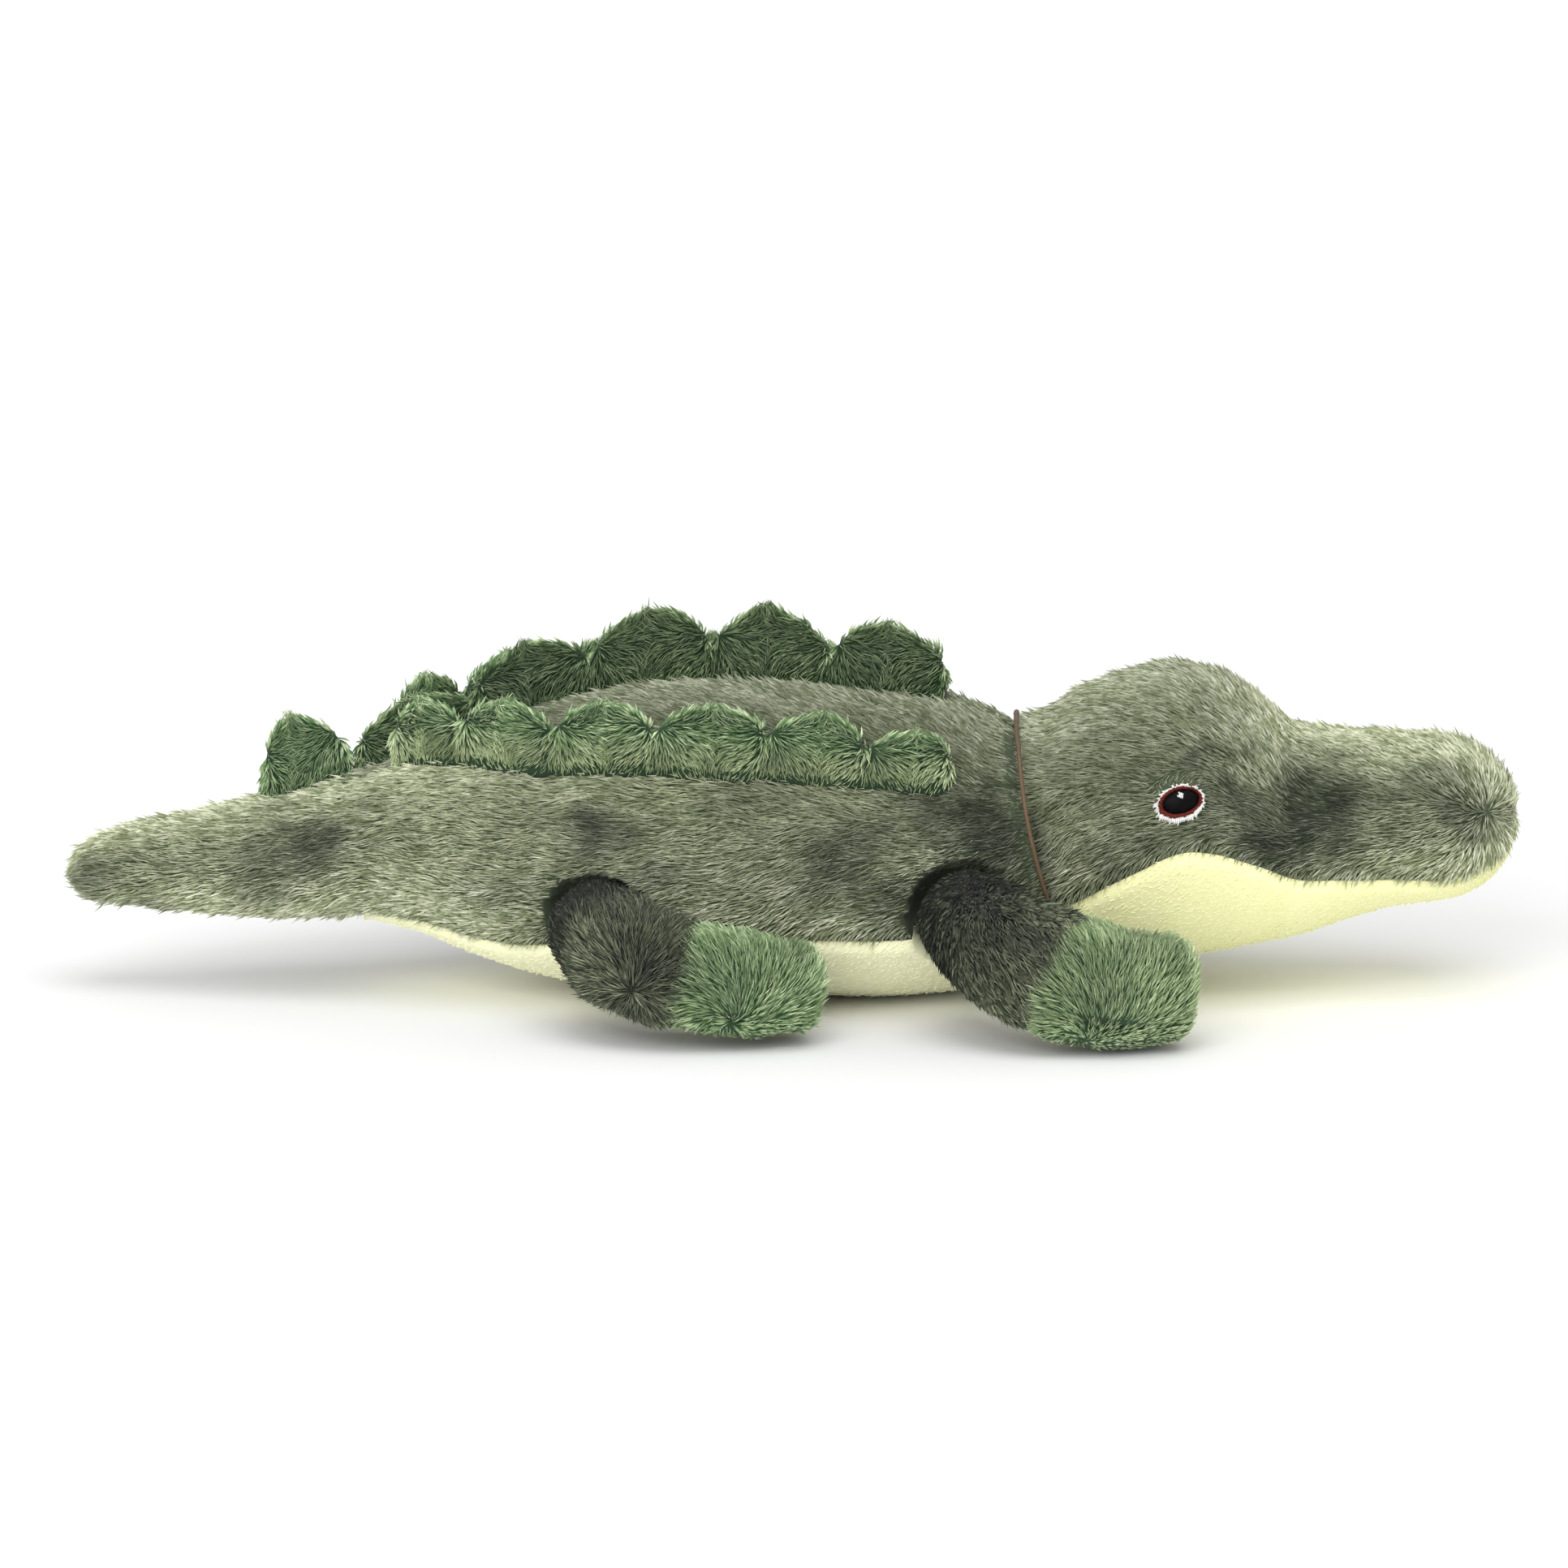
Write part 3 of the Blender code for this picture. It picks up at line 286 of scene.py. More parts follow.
def bag(x, angle):
    """A point on the bag: at each x a superellipse, with the angle 0 on the left side, 90 on the back
    and -90 on the belly, and with rounded ends like a quarter of an ellipse. The back rises to a soft
    ridge."""
    past = np.maximum((tail_cap_x - x) / TAIL_CAP, (x - nose_cap_x) / NOSE_CAP)
    rounding = np.sqrt(1 - np.clip(past, 0, 1) ** 2)
    turn = np.radians(angle)
    y = half_width_at(x) * rounding * power(np.cos(turn), 2 / ROUNDNESS)
    z = middle_at(x) + half_height_at(x) * rounding * power(np.sin(turn), 2 / ROUNDNESS)
    z = z + ridge_rise(x) * fade(np.sin(turn), *RIDGE_SINES)
    return np.stack(np.broadcast_arrays(x, y, z), axis=-1)


PROBE = 0.0004
PROBE_ANGLE = 0.5


def bag_directions(x, angle):
    """The unit normal of the bag and the unit direction along it towards the tail: cross products and
    differences of points a small step apart."""
    low = np.clip(x - PROBE, tip_x, nose_x - 2 * PROBE)
    ahead = bag(low + 2 * PROBE, angle) - bag(low, angle)
    round_it = bag(x, angle + PROBE_ANGLE) - bag(x, angle - PROBE_ANGLE)
    return unit(np.cross(round_it, ahead)), unit(-ahead)


print("bag from", round(tip_x, 4), "to", round(nose_x, 4), "in the model",
      round(cad_low[0], 4), "to", round(cad_high[0], 4))

# %% [markdown]
# ## Seams
# A plush animal is cut from flat panels. The seam between two of them is a line on the bag: an angle
# that changes along its length. The joints cut across the bag on two rounded ends, so a panel's first
# and last row follow the curve where the bag meets that rounded end, found by halving an interval.

# %% Seam lines
BALL_SHARE = 1.06
SEARCH_STEPS = 40
NECK_TOP_X = 0.0518
NECK_TOP_HEIGHT = 0.066
NECK_LEAN = 0.21
NECK_BOW = 0.0020
NECK_BOW_HEIGHT = 0.046
CHEEK_SHARE = 0.3
belly_seam_shares = (
    (0.00, -72),
    (0.08, -60),
    (0.20, -47),
    (0.27, -38),
    (0.40, -27),
    (0.75, -27),
    (1.00, -24),
)
crest_seam_shares = ((0.00, 76), (0.05, 74), (0.16, 60), (0.32, 45), (0.60, 39), (0.87, 39), (1.00, 39))
chin_seam_shares = (
    (-0.10, -24),
    (0.05, -22),
    (0.18, -13),
    (0.32, -5),
    (0.46, -10),
    (0.60, -20),
    (0.75, -34),
    (0.88, -44),
    (1.00, -42),
)


def seam_line(shares, start, length):
    return smooth_curve([start + share * length for share, _ in shares], [angle for _, angle in shares])


belly_seam = seam_line(belly_seam_shares, tail_root_x, TORSO_LENGTH)
crest_seam = seam_line(crest_seam_shares, tail_root_x, TORSO_LENGTH)
chin_seam = seam_line(chin_seam_shares, neck_x, HEAD_LENGTH)


def straight(angle):
    return lambda x: np.full_like(x, float(angle))


def other_seam(seam):
    """The same seam on the toy's right side."""
    return lambda x: 180 - seam(x)


def turn_on(seam):
    """The same seam a whole turn further, so that angles rise round the bag."""
    return lambda x: 360 + seam(x)


def crossing(angle_at, inside, outside, is_out):
    """Where each line along the bag leaves a region, found by halving an interval."""
    inside = np.full_like(angle_at(inside), inside)
    outside = np.full_like(inside, outside)
    for _ in range(SEARCH_STEPS):
        x = (inside + outside) / 2
        out = is_out(bag(x, angle_at(x)))
        outside = np.where(out, x, outside)
        inside = np.where(out, inside, x)
    return inside


def neck_seam_x(height):
    """The neck seam leans forward as it goes down, and bows back half way by a parabola."""
    down = NECK_TOP_HEIGHT - height
    share = np.clip(down / NECK_BOW_HEIGHT, 0, 1)
    return NECK_TOP_X + NECK_LEAN * down - NECK_BOW * 4 * share * (1 - share)


def neck_crossing(angle_at):
    """Where each line along the bag meets the neck seam, searched from the cheek backwards."""

    def behind_seam(points):
        return points[..., 0] < neck_seam_x(points[..., 2])

    return crossing(angle_at, neck_x + HEAD_LENGTH * CHEEK_SHARE, tail_root_x, behind_seam)


def tail_crossing(angle_at):
    """The tail's seam follows the rounded end about its hinge."""
    hinge_x = hinges["tail_turn"][0]
    centre = np.array([hinge_x, 0, middle_at(hinge_x)])
    wide = half_width_at(hinge_x) * BALL_SHARE
    tall = half_height_at(hinge_x) * BALL_SHARE

    def outside_ball(points):
        return (((points - centre) / (wide, wide, tall)) ** 2).sum(-1) > 1

    return crossing(angle_at, hinge_x, hinge_x + wide, outside_ball)


# %% [markdown]
# ## From a grid of points to a mesh
# A piece is one mesh: a closed sheet of cloth and the hairs that grow on it. The cloth is a grid, with
# a second grid behind it and walls round the edge. The whole mesh is written in one go from arrays.
# Each point also carries what the finish needs: how far it is up its hair, the hair's own shade, and
# how deep the dye's blotches and the painted shade and painted light are there.

# %% Mesh from arrays
HAIR_FACES = np.array([[0, 1, 3], [0, 3, 4], [1, 4, 3], [0, 4, 2], [1, 2, 4], [0, 2, 1]])
HAIR_TIP = np.array([0, 0, 0, 0.5, 1.0])
MAP_NAME = "OFBake"


def grid_quads(index, closed_round):
    """Quads between neighbours of a grid of point numbers, closed round its rows if asked."""
    following = np.roll(index, -1, axis=1)
    if not closed_round:
        index = index[:, :-1]
        following = following[:, :-1]
    return np.stack([index[:-1], following[:-1], following[1:], index[1:]], axis=-1).reshape(-1, 4)


def sheet_quads(cloth):
    """A closed sheet: the outer grid, the inner grid turned over, and walls along the four edges. The
    outer grid faces the way that its pile grows."""
    rows, columns = cloth.points.shape[:2]
    outer = np.arange(rows * columns).reshape(rows, columns)
    inner = outer + rows * columns
    rim = np.concatenate([outer[0], outer[1:, -1], outer[-1, -2::-1], outer[-2:0:-1, 0]])
    following = np.roll(rim, -1)
    walls = np.stack([following, rim, rim + rows * columns, following + rows * columns], axis=-1)
    quads = np.concatenate([grid_quads(outer, False), grid_quads(inner, False)[:, ::-1], walls])
    faces_out = dot(surface_normals(cloth.points), cloth.normals).sum() > 0
    return quads if faces_out else quads[:, ::-1]


def surface_normals(points):
    """Unit normals of a grid: the cross product of its steps along the rows and down the columns."""
    return unit(np.cross(np.gradient(points, axis=1), np.gradient(points, axis=0)))


NO_TRIANGLES = np.zeros((0, 3), int)


def write_mesh(name, points, quads, triangles, smooth_count, attributes, uv, material):
    """A mesh object from whole arrays. The first faces are shaded smooth, and the rest flat."""
    mesh = bpy.data.meshes.new(name)
    mesh.materials.append(material)
    loops = np.concatenate([quads.ravel(), triangles.ravel()]).astype(np.int32)
    starts = np.concatenate([np.arange(len(quads)) * 4, quads.size + np.arange(len(triangles)) * 3])
    mesh.vertices.add(len(points))
    mesh.vertices.foreach_set("co", points.astype(np.float32).ravel())
    mesh.loops.add(len(loops))
    mesh.loops.foreach_set("vertex_index", loops)
    mesh.polygons.add(len(starts))
    mesh.polygons.foreach_set("loop_start", starts.astype(np.int32))
    mesh.polygons.foreach_set("use_smooth", np.arange(len(starts)) < smooth_count)
    layer = mesh.uv_layers.new(name=MAP_NAME)
    layer.uv.foreach_set("vector", uv[loops].astype(np.float32).ravel())
    for key, values in attributes.items():
        attribute = mesh.attributes.new(key, "FLOAT", "POINT")
        attribute.data.foreach_set("value", values.astype(np.float32))
    mesh.update(calc_edges=True)
    piece = bpy.data.objects.new(name, mesh)
    bpy.context.scene.collection.objects.link(piece)
    return piece


# %% [markdown]
# ## Pile
# Fur fabric is thousands of short fibres standing in a backing cloth, brushed one way. Each hair here
# is a bent spike of six triangles: a three-cornered foot, a ridge half way and a point. Real fibres are
# 0.02 to 0.05 mm thick and 1 to 4 mm long. A render of the whole toy can't show that, so the hairs are
# as long as the real ones and about ten times thicker.
#
# The places are spread evenly by area: the grid's cells are laid end to end by area, and a hair is set
# at equal steps along them. A slow noise turns neighbouring hairs together, hairs lean to the middle of
# their tuft, and each hair also strays a little by itself. A shader with a bump map would be cheaper,
# but it leaves the outline smooth, and the outline is what tells the eye that this is fur.


# %% Pile
# A pile's hairs: their spacing, length and width in metres, and in radians their lift off the cloth and
# how far the outer half droops back. Then come the sway of tufts off the nap in radians and the tufts'
# size, how far one hair strays, the share of the way it leans to its tuft's middle, and how much longer
# than wide its streaks of colour are, where 1 is round and less is longer.
Pile = namedtuple("Pile", "spacing length width lift droop sway tuft stray gather streak")
BODY_PILE = Pile(0.00054, 0.0036, 0.00030, 0.40, 0.32, 0.30, 0.0045, 0.13, 0.35, 0.22)
SLEEVE_PILE = Pile(0.00054, 0.0037, 0.00030, 0.44, 0.36, 0.35, 0.0040, 0.18, 0.45, 1.0)
CREST_PILE = Pile(0.00054, 0.0032, 0.00032, 0.50, 0.42, 0.45, 0.0030, 0.18, 0.55, 1.0)
FOOT_PILE = Pile(0.00054, 0.0038, 0.00034, 0.34, 0.30, 0.28, 0.0040, 0.12, 0.9, 1.0)
VELOUR_PILE = Pile(0.00096, 0.0011, 0.00040, 0.30, 0.15, 0.35, 0.0050, 0.30, 0.0, 1.0)
TUFT_SIZE = 0.0013
TUFT_WARP_SIZE = TUFT_SIZE * 1.5
TUFT_WARP = 0.6
STREAK_SIZE = 0.0010
LENGTH_RANGE = (0.7, 1.25)
WIDTH_RANGE = (0.75, 1.25)
LIFT_STRAY = 0.18
LIFT_TUFT = 0.2
LIFT_RANGE = (0.12, 1.4)
FURTHEST_DROOP = -0.1
SHADE_STRAY = 0.38
SHADE_STREAK = 0.26
BLOTCH_RANGE = (0.55, 1.35)


class Cloth:
    """A grid of cloth to grow pile on. Each field has one value for each point of the grid."""

    def __init__(self, points, normals, nap, blotch=0.0, crowd=1.0, long=1.0):
        shape = points.shape[:2]
        self.points = points
        self.normals = normals
        self.nap = unit(nap - normals * dot(nap, normals))
        self.blotch = np.broadcast_to(blotch, shape).astype(float)
        self.crowd = np.broadcast_to(crowd, shape).astype(float)
        self.long = np.broadcast_to(long, shape).astype(float)


def scatter(cloth, spacing, random):
    """Evenly spread places on a cloth: cell numbers and shares of the way across the cell."""
    down = cloth.points[1:, :-1] - cloth.points[:-1, :-1]
    across = cloth.points[:-1, 1:] - cloth.points[:-1, :-1]
    areas = np.linalg.norm(np.cross(down, across), axis=-1) * cloth.crowd[:-1, :-1]
    filled = np.cumsum(areas.ravel())
    count = int(filled[-1] / spacing**2)
    steps = (np.arange(count) + random.random(count)) * filled[-1] / count
    cell = np.minimum(np.searchsorted(filled, steps), areas.size - 1)
    row, column = np.divmod(cell, areas.shape[1])
    return row, column, random.random(count), random.random(count)


def read(field, place):
    """A grid's field at scattered places, blended between the four corners of each cell."""
    row, column, down, across = place
    if field.ndim == 3:
        down = down[:, None]
        across = across[:, None]
    upper = mix(field[row, column], field[row, column + 1], across)
    lower = mix(field[row + 1, column], field[row + 1, column + 1], across)
    return mix(upper, lower, down)


def to_tuft(root, seed):
    """The way from each root to the middle of its tuft. A tuft is what falls in one cell of a lattice
    that noise has warped."""
    warp = [soft_noise(root, TUFT_WARP_SIZE, seed + shift) for shift in (3, 4, 5)]
    cells = np.floor(root / TUFT_SIZE + np.stack(warp, axis=-1) * TUFT_WARP).astype(np.int64)
    keys = (cells * HASH_FACTORS).sum(-1)
    _, tuft, sizes = np.unique(keys, return_inverse=True, return_counts=True)
    middles = np.stack([np.bincount(tuft, weights=axis) / sizes for axis in root.T], axis=-1)
    return middles[tuft] - root


def grow(cloth, pile, seed, lowest=0.0):
    """Hairs on a cloth: points, shades, blotches and map places. A hair's lower half lifts off the cloth
    by its lift, and its upper half by the lift less the droop. No point goes below the lowest height."""
    random = np.random.default_rng(seed)
    place = scatter(cloth, pile.spacing, random)
    count = len(place[0])
    root = read(cloth.points, place)
    normal = unit(read(cloth.normals, place))
    nap = unit(read(cloth.nap, place))
    swing = pile.sway * soft_noise(root, pile.tuft, seed) + pile.stray * random.normal(size=count)
    swing = swing[:, None]
    heading = unit(nap * np.cos(swing) + np.cross(normal, nap) * np.sin(swing))
    side = np.cross(normal, heading)
    length = pile.length * read(cloth.long, place) * random.uniform(*LENGTH_RANGE, count)
    length = length[:, None]
    lift = pile.lift + LIFT_STRAY * random.normal(size=count)
    lift = lift + LIFT_TUFT * soft_noise(root, pile.tuft, seed + 1)
    lift = np.clip(lift, *LIFT_RANGE)[:, None]
    flatter = np.maximum(lift - pile.droop, FURTHEST_DROOP)
    ridge = root + (heading * np.cos(lift) + normal * np.sin(lift)) * length / 2
    tip = ridge + (heading * np.cos(flatter) + normal * np.sin(flatter)) * length / 2
    gathered = to_tuft(root, seed) * pile.gather
    ridge = ridge + gathered * 0.5
    tip = tip + gathered
    half = pile.width / 2 * random.uniform(*WIDTH_RANGE, (count, 1))
    foot = [root + side * half, root - side * half, root - normal * half]
    points = np.stack([*foot, ridge + normal * half / 2, tip], axis=1)
    points[..., 2] = np.maximum(points[..., 2], lowest)
    rows, columns = cloth.points.shape[:2]
    row, column, down, across = place
    streaks = soft_noise(root * (pile.streak, 1, 1), STREAK_SIZE, seed + 2)
    shade = 0.5 + SHADE_STRAY * random.uniform(-1, 1, count) + SHADE_STREAK * streaks
    return {
        "points": points,
        "shade": np.clip(shade, 0, 1),
        "blotch": np.clip(read(cloth.blotch, place) * random.uniform(*BLOTCH_RANGE, count), 0, 1),
        "at": np.stack([(column + across) / (columns - 1), (row + down) / (rows - 1)], axis=-1),
    }


HAIR_MAP_SIZE = 0.002
HAIR_MAP = np.array([[-0.5, 0], [0.5, 0], [0, -0.5], [0, 1], [0, 2]])
CLOTH_SHADE = 0.3


def furry(name, cloth, behind, pile, seed, material, lowest=0.0):
    """One piece: a closed sheet of cloth between a grid and the grid behind it, with its pile."""
    rows, columns = cloth.points.shape[:2]
    quads = sheet_quads(cloth)
    hairs = grow(cloth, pile, seed, lowest)
    count = len(hairs["shade"])
    base = 2 * rows * columns
    points = np.concatenate([part.reshape(-1, 3) for part in (cloth.points, behind, hairs["points"])])
    triangles = base + np.arange(count)[:, None, None] * len(HAIR_TIP) + HAIR_FACES
    grid = np.stack(np.meshgrid(np.linspace(0, 1, columns), np.linspace(0, 1, rows)), axis=-1)
    grid = grid.reshape(-1, 2)
    hair_map = hairs["at"][:, None] + HAIR_MAP * HAIR_MAP_SIZE
    shades, spots = (np.repeat(hairs[key], len(HAIR_TIP)) for key in ("shade", "blotch"))
    attributes = {
        "tip": np.concatenate([np.zeros(base), np.tile(HAIR_TIP, count)]),
        "shade": np.concatenate([np.full(base, CLOTH_SHADE), shades]),
        "blotch": np.concatenate([np.tile(cloth.blotch.ravel(), 2), spots]),
    }
    uv = np.clip(np.concatenate([grid, grid, hair_map.reshape(-1, 2)]), 0, 1)
    piece = write_mesh(name, points, quads, triangles.reshape(-1, 3), len(quads), attributes, uv, material)
    wide, long = (np.linalg.norm(np.diff(cloth.points, axis=way), axis=-1).sum(way).max() for way in (1, 0))
    print(name, "cloth", round(long * 1000), "x", round(wide * 1000), "mm, hairs:", count,
          "triangles:", 2 * len(quads) + 6 * count)
    return piece


# %% [markdown]
# ## Finishes
# Pile is dull and soft: polyester fibres, rough, with a faint sheen where they lie edge-on. The root of
# a hair sits in shade and its tip catches the light, so the colour runs from painted shade at the root to
# a tip that is partly painted light and partly the fibre's own paler end. The dye is printed in blotches,
# which ride on the cloth as an attribute that also carries painted shade and painted light on some
# pieces. Each finish has a name that says what the real one is, and the comment above it says what that
# gives the eye. Fine noise of 0.9 mm breaks each hair into darker and lighter spots, partly for dark and
# light fibres that are too thin to draw one by one and partly as painted glints.


# %% Colours and nodes
def linear(hexadecimal):
    """A colour for Blender from its sRGB hex value."""
    channels = [int(hexadecimal[i : i + 2], 16) / 255 for i in (1, 3, 5)]
    return [c / 12.92 if c <= 0.04045 else ((c + 0.055) / 1.055) ** 2.4 for c in channels] + [1]


def add_node(material, kind, settings=None, inputs=None):
    """A node with its settings, and its inputs as values or as the outputs that feed them."""
    node = material.node_tree.nodes.new(kind)
    for key, value in (settings or {}).items():
        setattr(node, key, value)
    for key, value in (inputs or {}).items():
        if isinstance(value, bpy.types.NodeSocket):
            material.node_tree.links.new(value, node.inputs[key])
        else:
            node.inputs[key].default_value = value
    return node


MIX_FACTOR, MIX_A, MIX_B, MIX_OUT = 0, 6, 7, 2


def blend_colours(material, factor, first, second):
    inputs = {MIX_FACTOR: factor, MIX_A: first, MIX_B: second}
    return add_node(material, "ShaderNodeMix", {"data_type": "RGBA"}, inputs).outputs[MIX_OUT]


def new_material(name, roughness, sheen=0.0, sheen_roughness=0.5):
    material = bpy.data.materials.new(name)
    material.use_nodes = True
    shader = material.node_tree.nodes["Principled BSDF"]
    shader.inputs["Roughness"].default_value = roughness
    shader.inputs["Sheen Weight"].default_value = sheen
    shader.inputs["Sheen Roughness"].default_value = sheen_roughness
    shader.inputs["Specular IOR Level"].default_value = 0.2
    return material, shader


def attribute(material, name):
    return add_node(material, "ShaderNodeAttribute", {"attribute_name": name}).outputs["Fac"]


def ramp(material, value, low, high):
    """0 below low and 1 above high."""
    inputs = {"Value": value, "From Min": low, "From Max": high}
    return add_node(material, "ShaderNodeMapRange", {}, inputs).outputs["Result"]


def noise_at(material, size, detail=2.0):
    """Noise with features of about that size in metres, on Object coordinates."""
    place = add_node(material, "ShaderNodeTexCoord").outputs["Object"]
    inputs = {"Vector": place, "Scale": 1 / size, "Detail": detail}
    return add_node(material, "ShaderNodeTexNoise", {}, inputs).outputs["Fac"]


GLINT_SIZE = 0.0009
PATCH_SIZE = 0.018
RELIEF_HEIGHT = 0.0001
ROOT_ROUGHNESS = 0.97


def add_relief(material, shader, size, height):
    """Bump from noise, with features and a height of real sizes."""
    inputs = {"Height": noise_at(material, size), "Distance": height, "Strength": 0.6}
    relief = add_node(material, "ShaderNodeBump", {}, inputs).outputs["Normal"]
    material.node_tree.links.new(relief, shader.inputs["Normal"])


def fur_material(name, root, dark, light, tip, blotched=None, roughness=0.85, sheen=0.12, lining=None):
    """Pile from four colours: the root in painted shade, a dark and a light fibre, and the tip, partly
    painted light and partly the fibre's own paler end. The fibres are blotched with one more colour, which
    stands for print, painted shade and painted light on different pieces, or the bare cloth is lined with
    it."""
    material, shader = new_material(name, roughness, sheen)
    shade = attribute(material, "shade")
    up = attribute(material, "tip")
    fibre = blend_colours(material, shade, linear(dark), linear(light))
    # Painted glints: fine noise darkens the fibre in spots, partly for the fibres' own random tone
    tone_and_painted_glint = ramp(material, noise_at(material, GLINT_SIZE, 0.0), 0.30, 0.70)
    fibre = blend_colours(material, tone_and_painted_glint, blend_colours(material, 0.5, fibre, linear(dark)), fibre)
    patch = ramp(material, noise_at(material, PATCH_SIZE), 0.35, 0.65)
    fibre = blend_colours(material, patch, blend_colours(material, 0.25, fibre, linear(dark)), fibre)
    factors = {0: up, 1: ramp(material, shade, 0.35, 1.0)}
    bright = add_node(material, "ShaderNodeMath", {"operation": "MULTIPLY"}, factors)
    fibre = blend_colours(material, bright.outputs[0], fibre, linear(tip))
    ground = linear(root)
    if lining:
        ground = blend_colours(material, attribute(material, "blotch"), ground, linear(lining))
    if blotched:
        amount = attribute(material, "blotch")
        spot = blend_colours(material, up, linear(root), linear(blotched))
        fibre = blend_colours(material, amount, fibre, spot)
    colour = blend_colours(material, ramp(material, up, 0.0, 0.45), ground, fibre)
    material.node_tree.links.new(colour, shader.inputs["Base Color"])
    add_relief(material, shader, GLINT_SIZE, RELIEF_HEIGHT)
    rough_range = {"Value": up, "To Min": ROOT_ROUGHNESS, "To Max": roughness}
    rough = add_node(material, "ShaderNodeMapRange", {}, rough_range).outputs["Result"]
    material.node_tree.links.new(rough, shader.inputs["Roughness"])
    return material


# Long knitted polyester fur, printed and then tip-bleached: silvery ends over green-grey roots. Its dark
# blotched colour darkens the printed blotches, and as painted shade the back panels and the crown
sage_fur = fur_material("sage_plush_fur", "#424c39", "#86916c", "#fbffd6", "#fffff2", "#353e33")
# The same fur dyed through in charcoal green: a soft dark nap with few light ends
dark_fur = fur_material("charcoal_green_plush_fur", "#1b211b", "#3a4336", "#899074", "#bcc2a0", "#171c17")
# Longer, thicker shag, dyed leaf green: deep painted shade between tufts, and yellow-green painted light
# where it is lit. Its pale blotched colour is painted light on the side crests' lower edge and on the feet
green_shag = fur_material("green_shag_plush", "#2a402a", "#597a4b", "#b8d69e", "#f0f8d4", "#ecf8c4")
# The same shag on the spine crest as a darker copy, painted shade, as the spine crest is lit less than
# the side crests
painted_shade_shag = fur_material("shaded_green_shag_plush", "#22351f", "#445f3c", "#9bb582", "#d6e4b6", "#9bb582")
# Short cut velour: dense and even, so it looks almost smooth, and pale lemon
yellow_velour = fur_material("lemon_velour", "#f3f3bc", "#f6f6c6", "#fafad4", "#fefee0", roughness=0.8)
# The same velour as a paler copy for the belly, painted light, as the belly faces down into shade. In the
# leg sockets it is lined with the sleeve's dark cloth.
painted_light_velour = fur_material(
    "pale_lemon_velour", "#fafad2", "#fcfcdc", "#fefee8", "#fffff2", roughness=0.8, lining="#232923"
)

# %% [markdown]
# ## The skins of the torso, head and tail
# Each panel runs between two seams. Its grid is finer near the seams, where the cloth turns in. The
# backing cloth lies a pile's height under the outer surface, dips into a groove at each seam, and is
# slightly lumpy from the filling. Where a leg is sewn on, the flank is pushed in onto a ball about the
# leg's root, so that the leg has room to swing.

# %% Panels
GRID_STEP = 0.0017
BODY_DEPTH = 0.0026
VELOUR_DEPTH = 0.0009
CLOTH_THICKNESS = 0.0006
GROOVE_DEPTH = 0.0012
GROOVE_WIDTH = 0.0016
LUMP_HEIGHT = 0.0006
LUMP_SIZE = 0.022
ROOT_CLEARANCE = 0.0002
HANG_WIDTH = 0.0040
HANG_SHARE = 0.75
CREASE_DEPTH = 0.0022
CREASE_WIDTH = 0.0022
CREASE_SHORTENING = 0.45
SHEET_FLOOR = 0.0003
LYING_SHARE = 0.5
END_THINNING = 0.5
# The nap's lean down, how it wanders over 30 mm, and how it turns up over the crown and out of a whorl
NAP_LEAN = 0.1
NAP_WANDER = 0.22
NAP_WANDER_SIZE = 0.030
CROWN_HEIGHTS = (0.045, 0.060)
WHORL_REACH = (0.004, 0.026)
WHORL_SHARE = 0.8
# Shares of a leg's ball: where hairs thin out, where they are shorter, and where dark lining starts
SOCKET_SHARE = 0.82
SOCKET_THINNING = 0.97
SOCKET_SHORTENING = 0.4
BY_SOCKET = (1.0, 1.4)
LINING_REACH = (0.92, 1.02)
# Cloth that faces down has fewer hairs, and the back and the crown get painted shade above these heights
UNDER_SLOPES = (0.7, 0.95)
UNDER_THINNING = 0.6
PAINTED_SHADE_HEIGHTS = (0.045, 0.055)
PAINTED_SHADE_END = (0.100, 0.115)
BALL_RADII = {"hind": 0.0130, "front": 0.0135}

leg_roots = [
    (hinges[f"{part}_leg_{side}_sweep"], radius)
    for part, radius in BALL_RADII.items()
    for side in ("left", "right")
]

# Where the top of a front leg is when it is swung fully outward
SWUNG_BACK = 0.0035
SWUNG_OUT = 0.0112
SWUNG_DOWN = 0.0010
SWUNG_RADIUS = 0.0146
swung_roots = [
    (hinges[f"front_leg_{side}_sweep"] + (-SWUNG_BACK, sign * SWUNG_OUT, -SWUNG_DOWN), SWUNG_RADIUS)
    for side, sign in (("left", 1), ("right", -1))
]

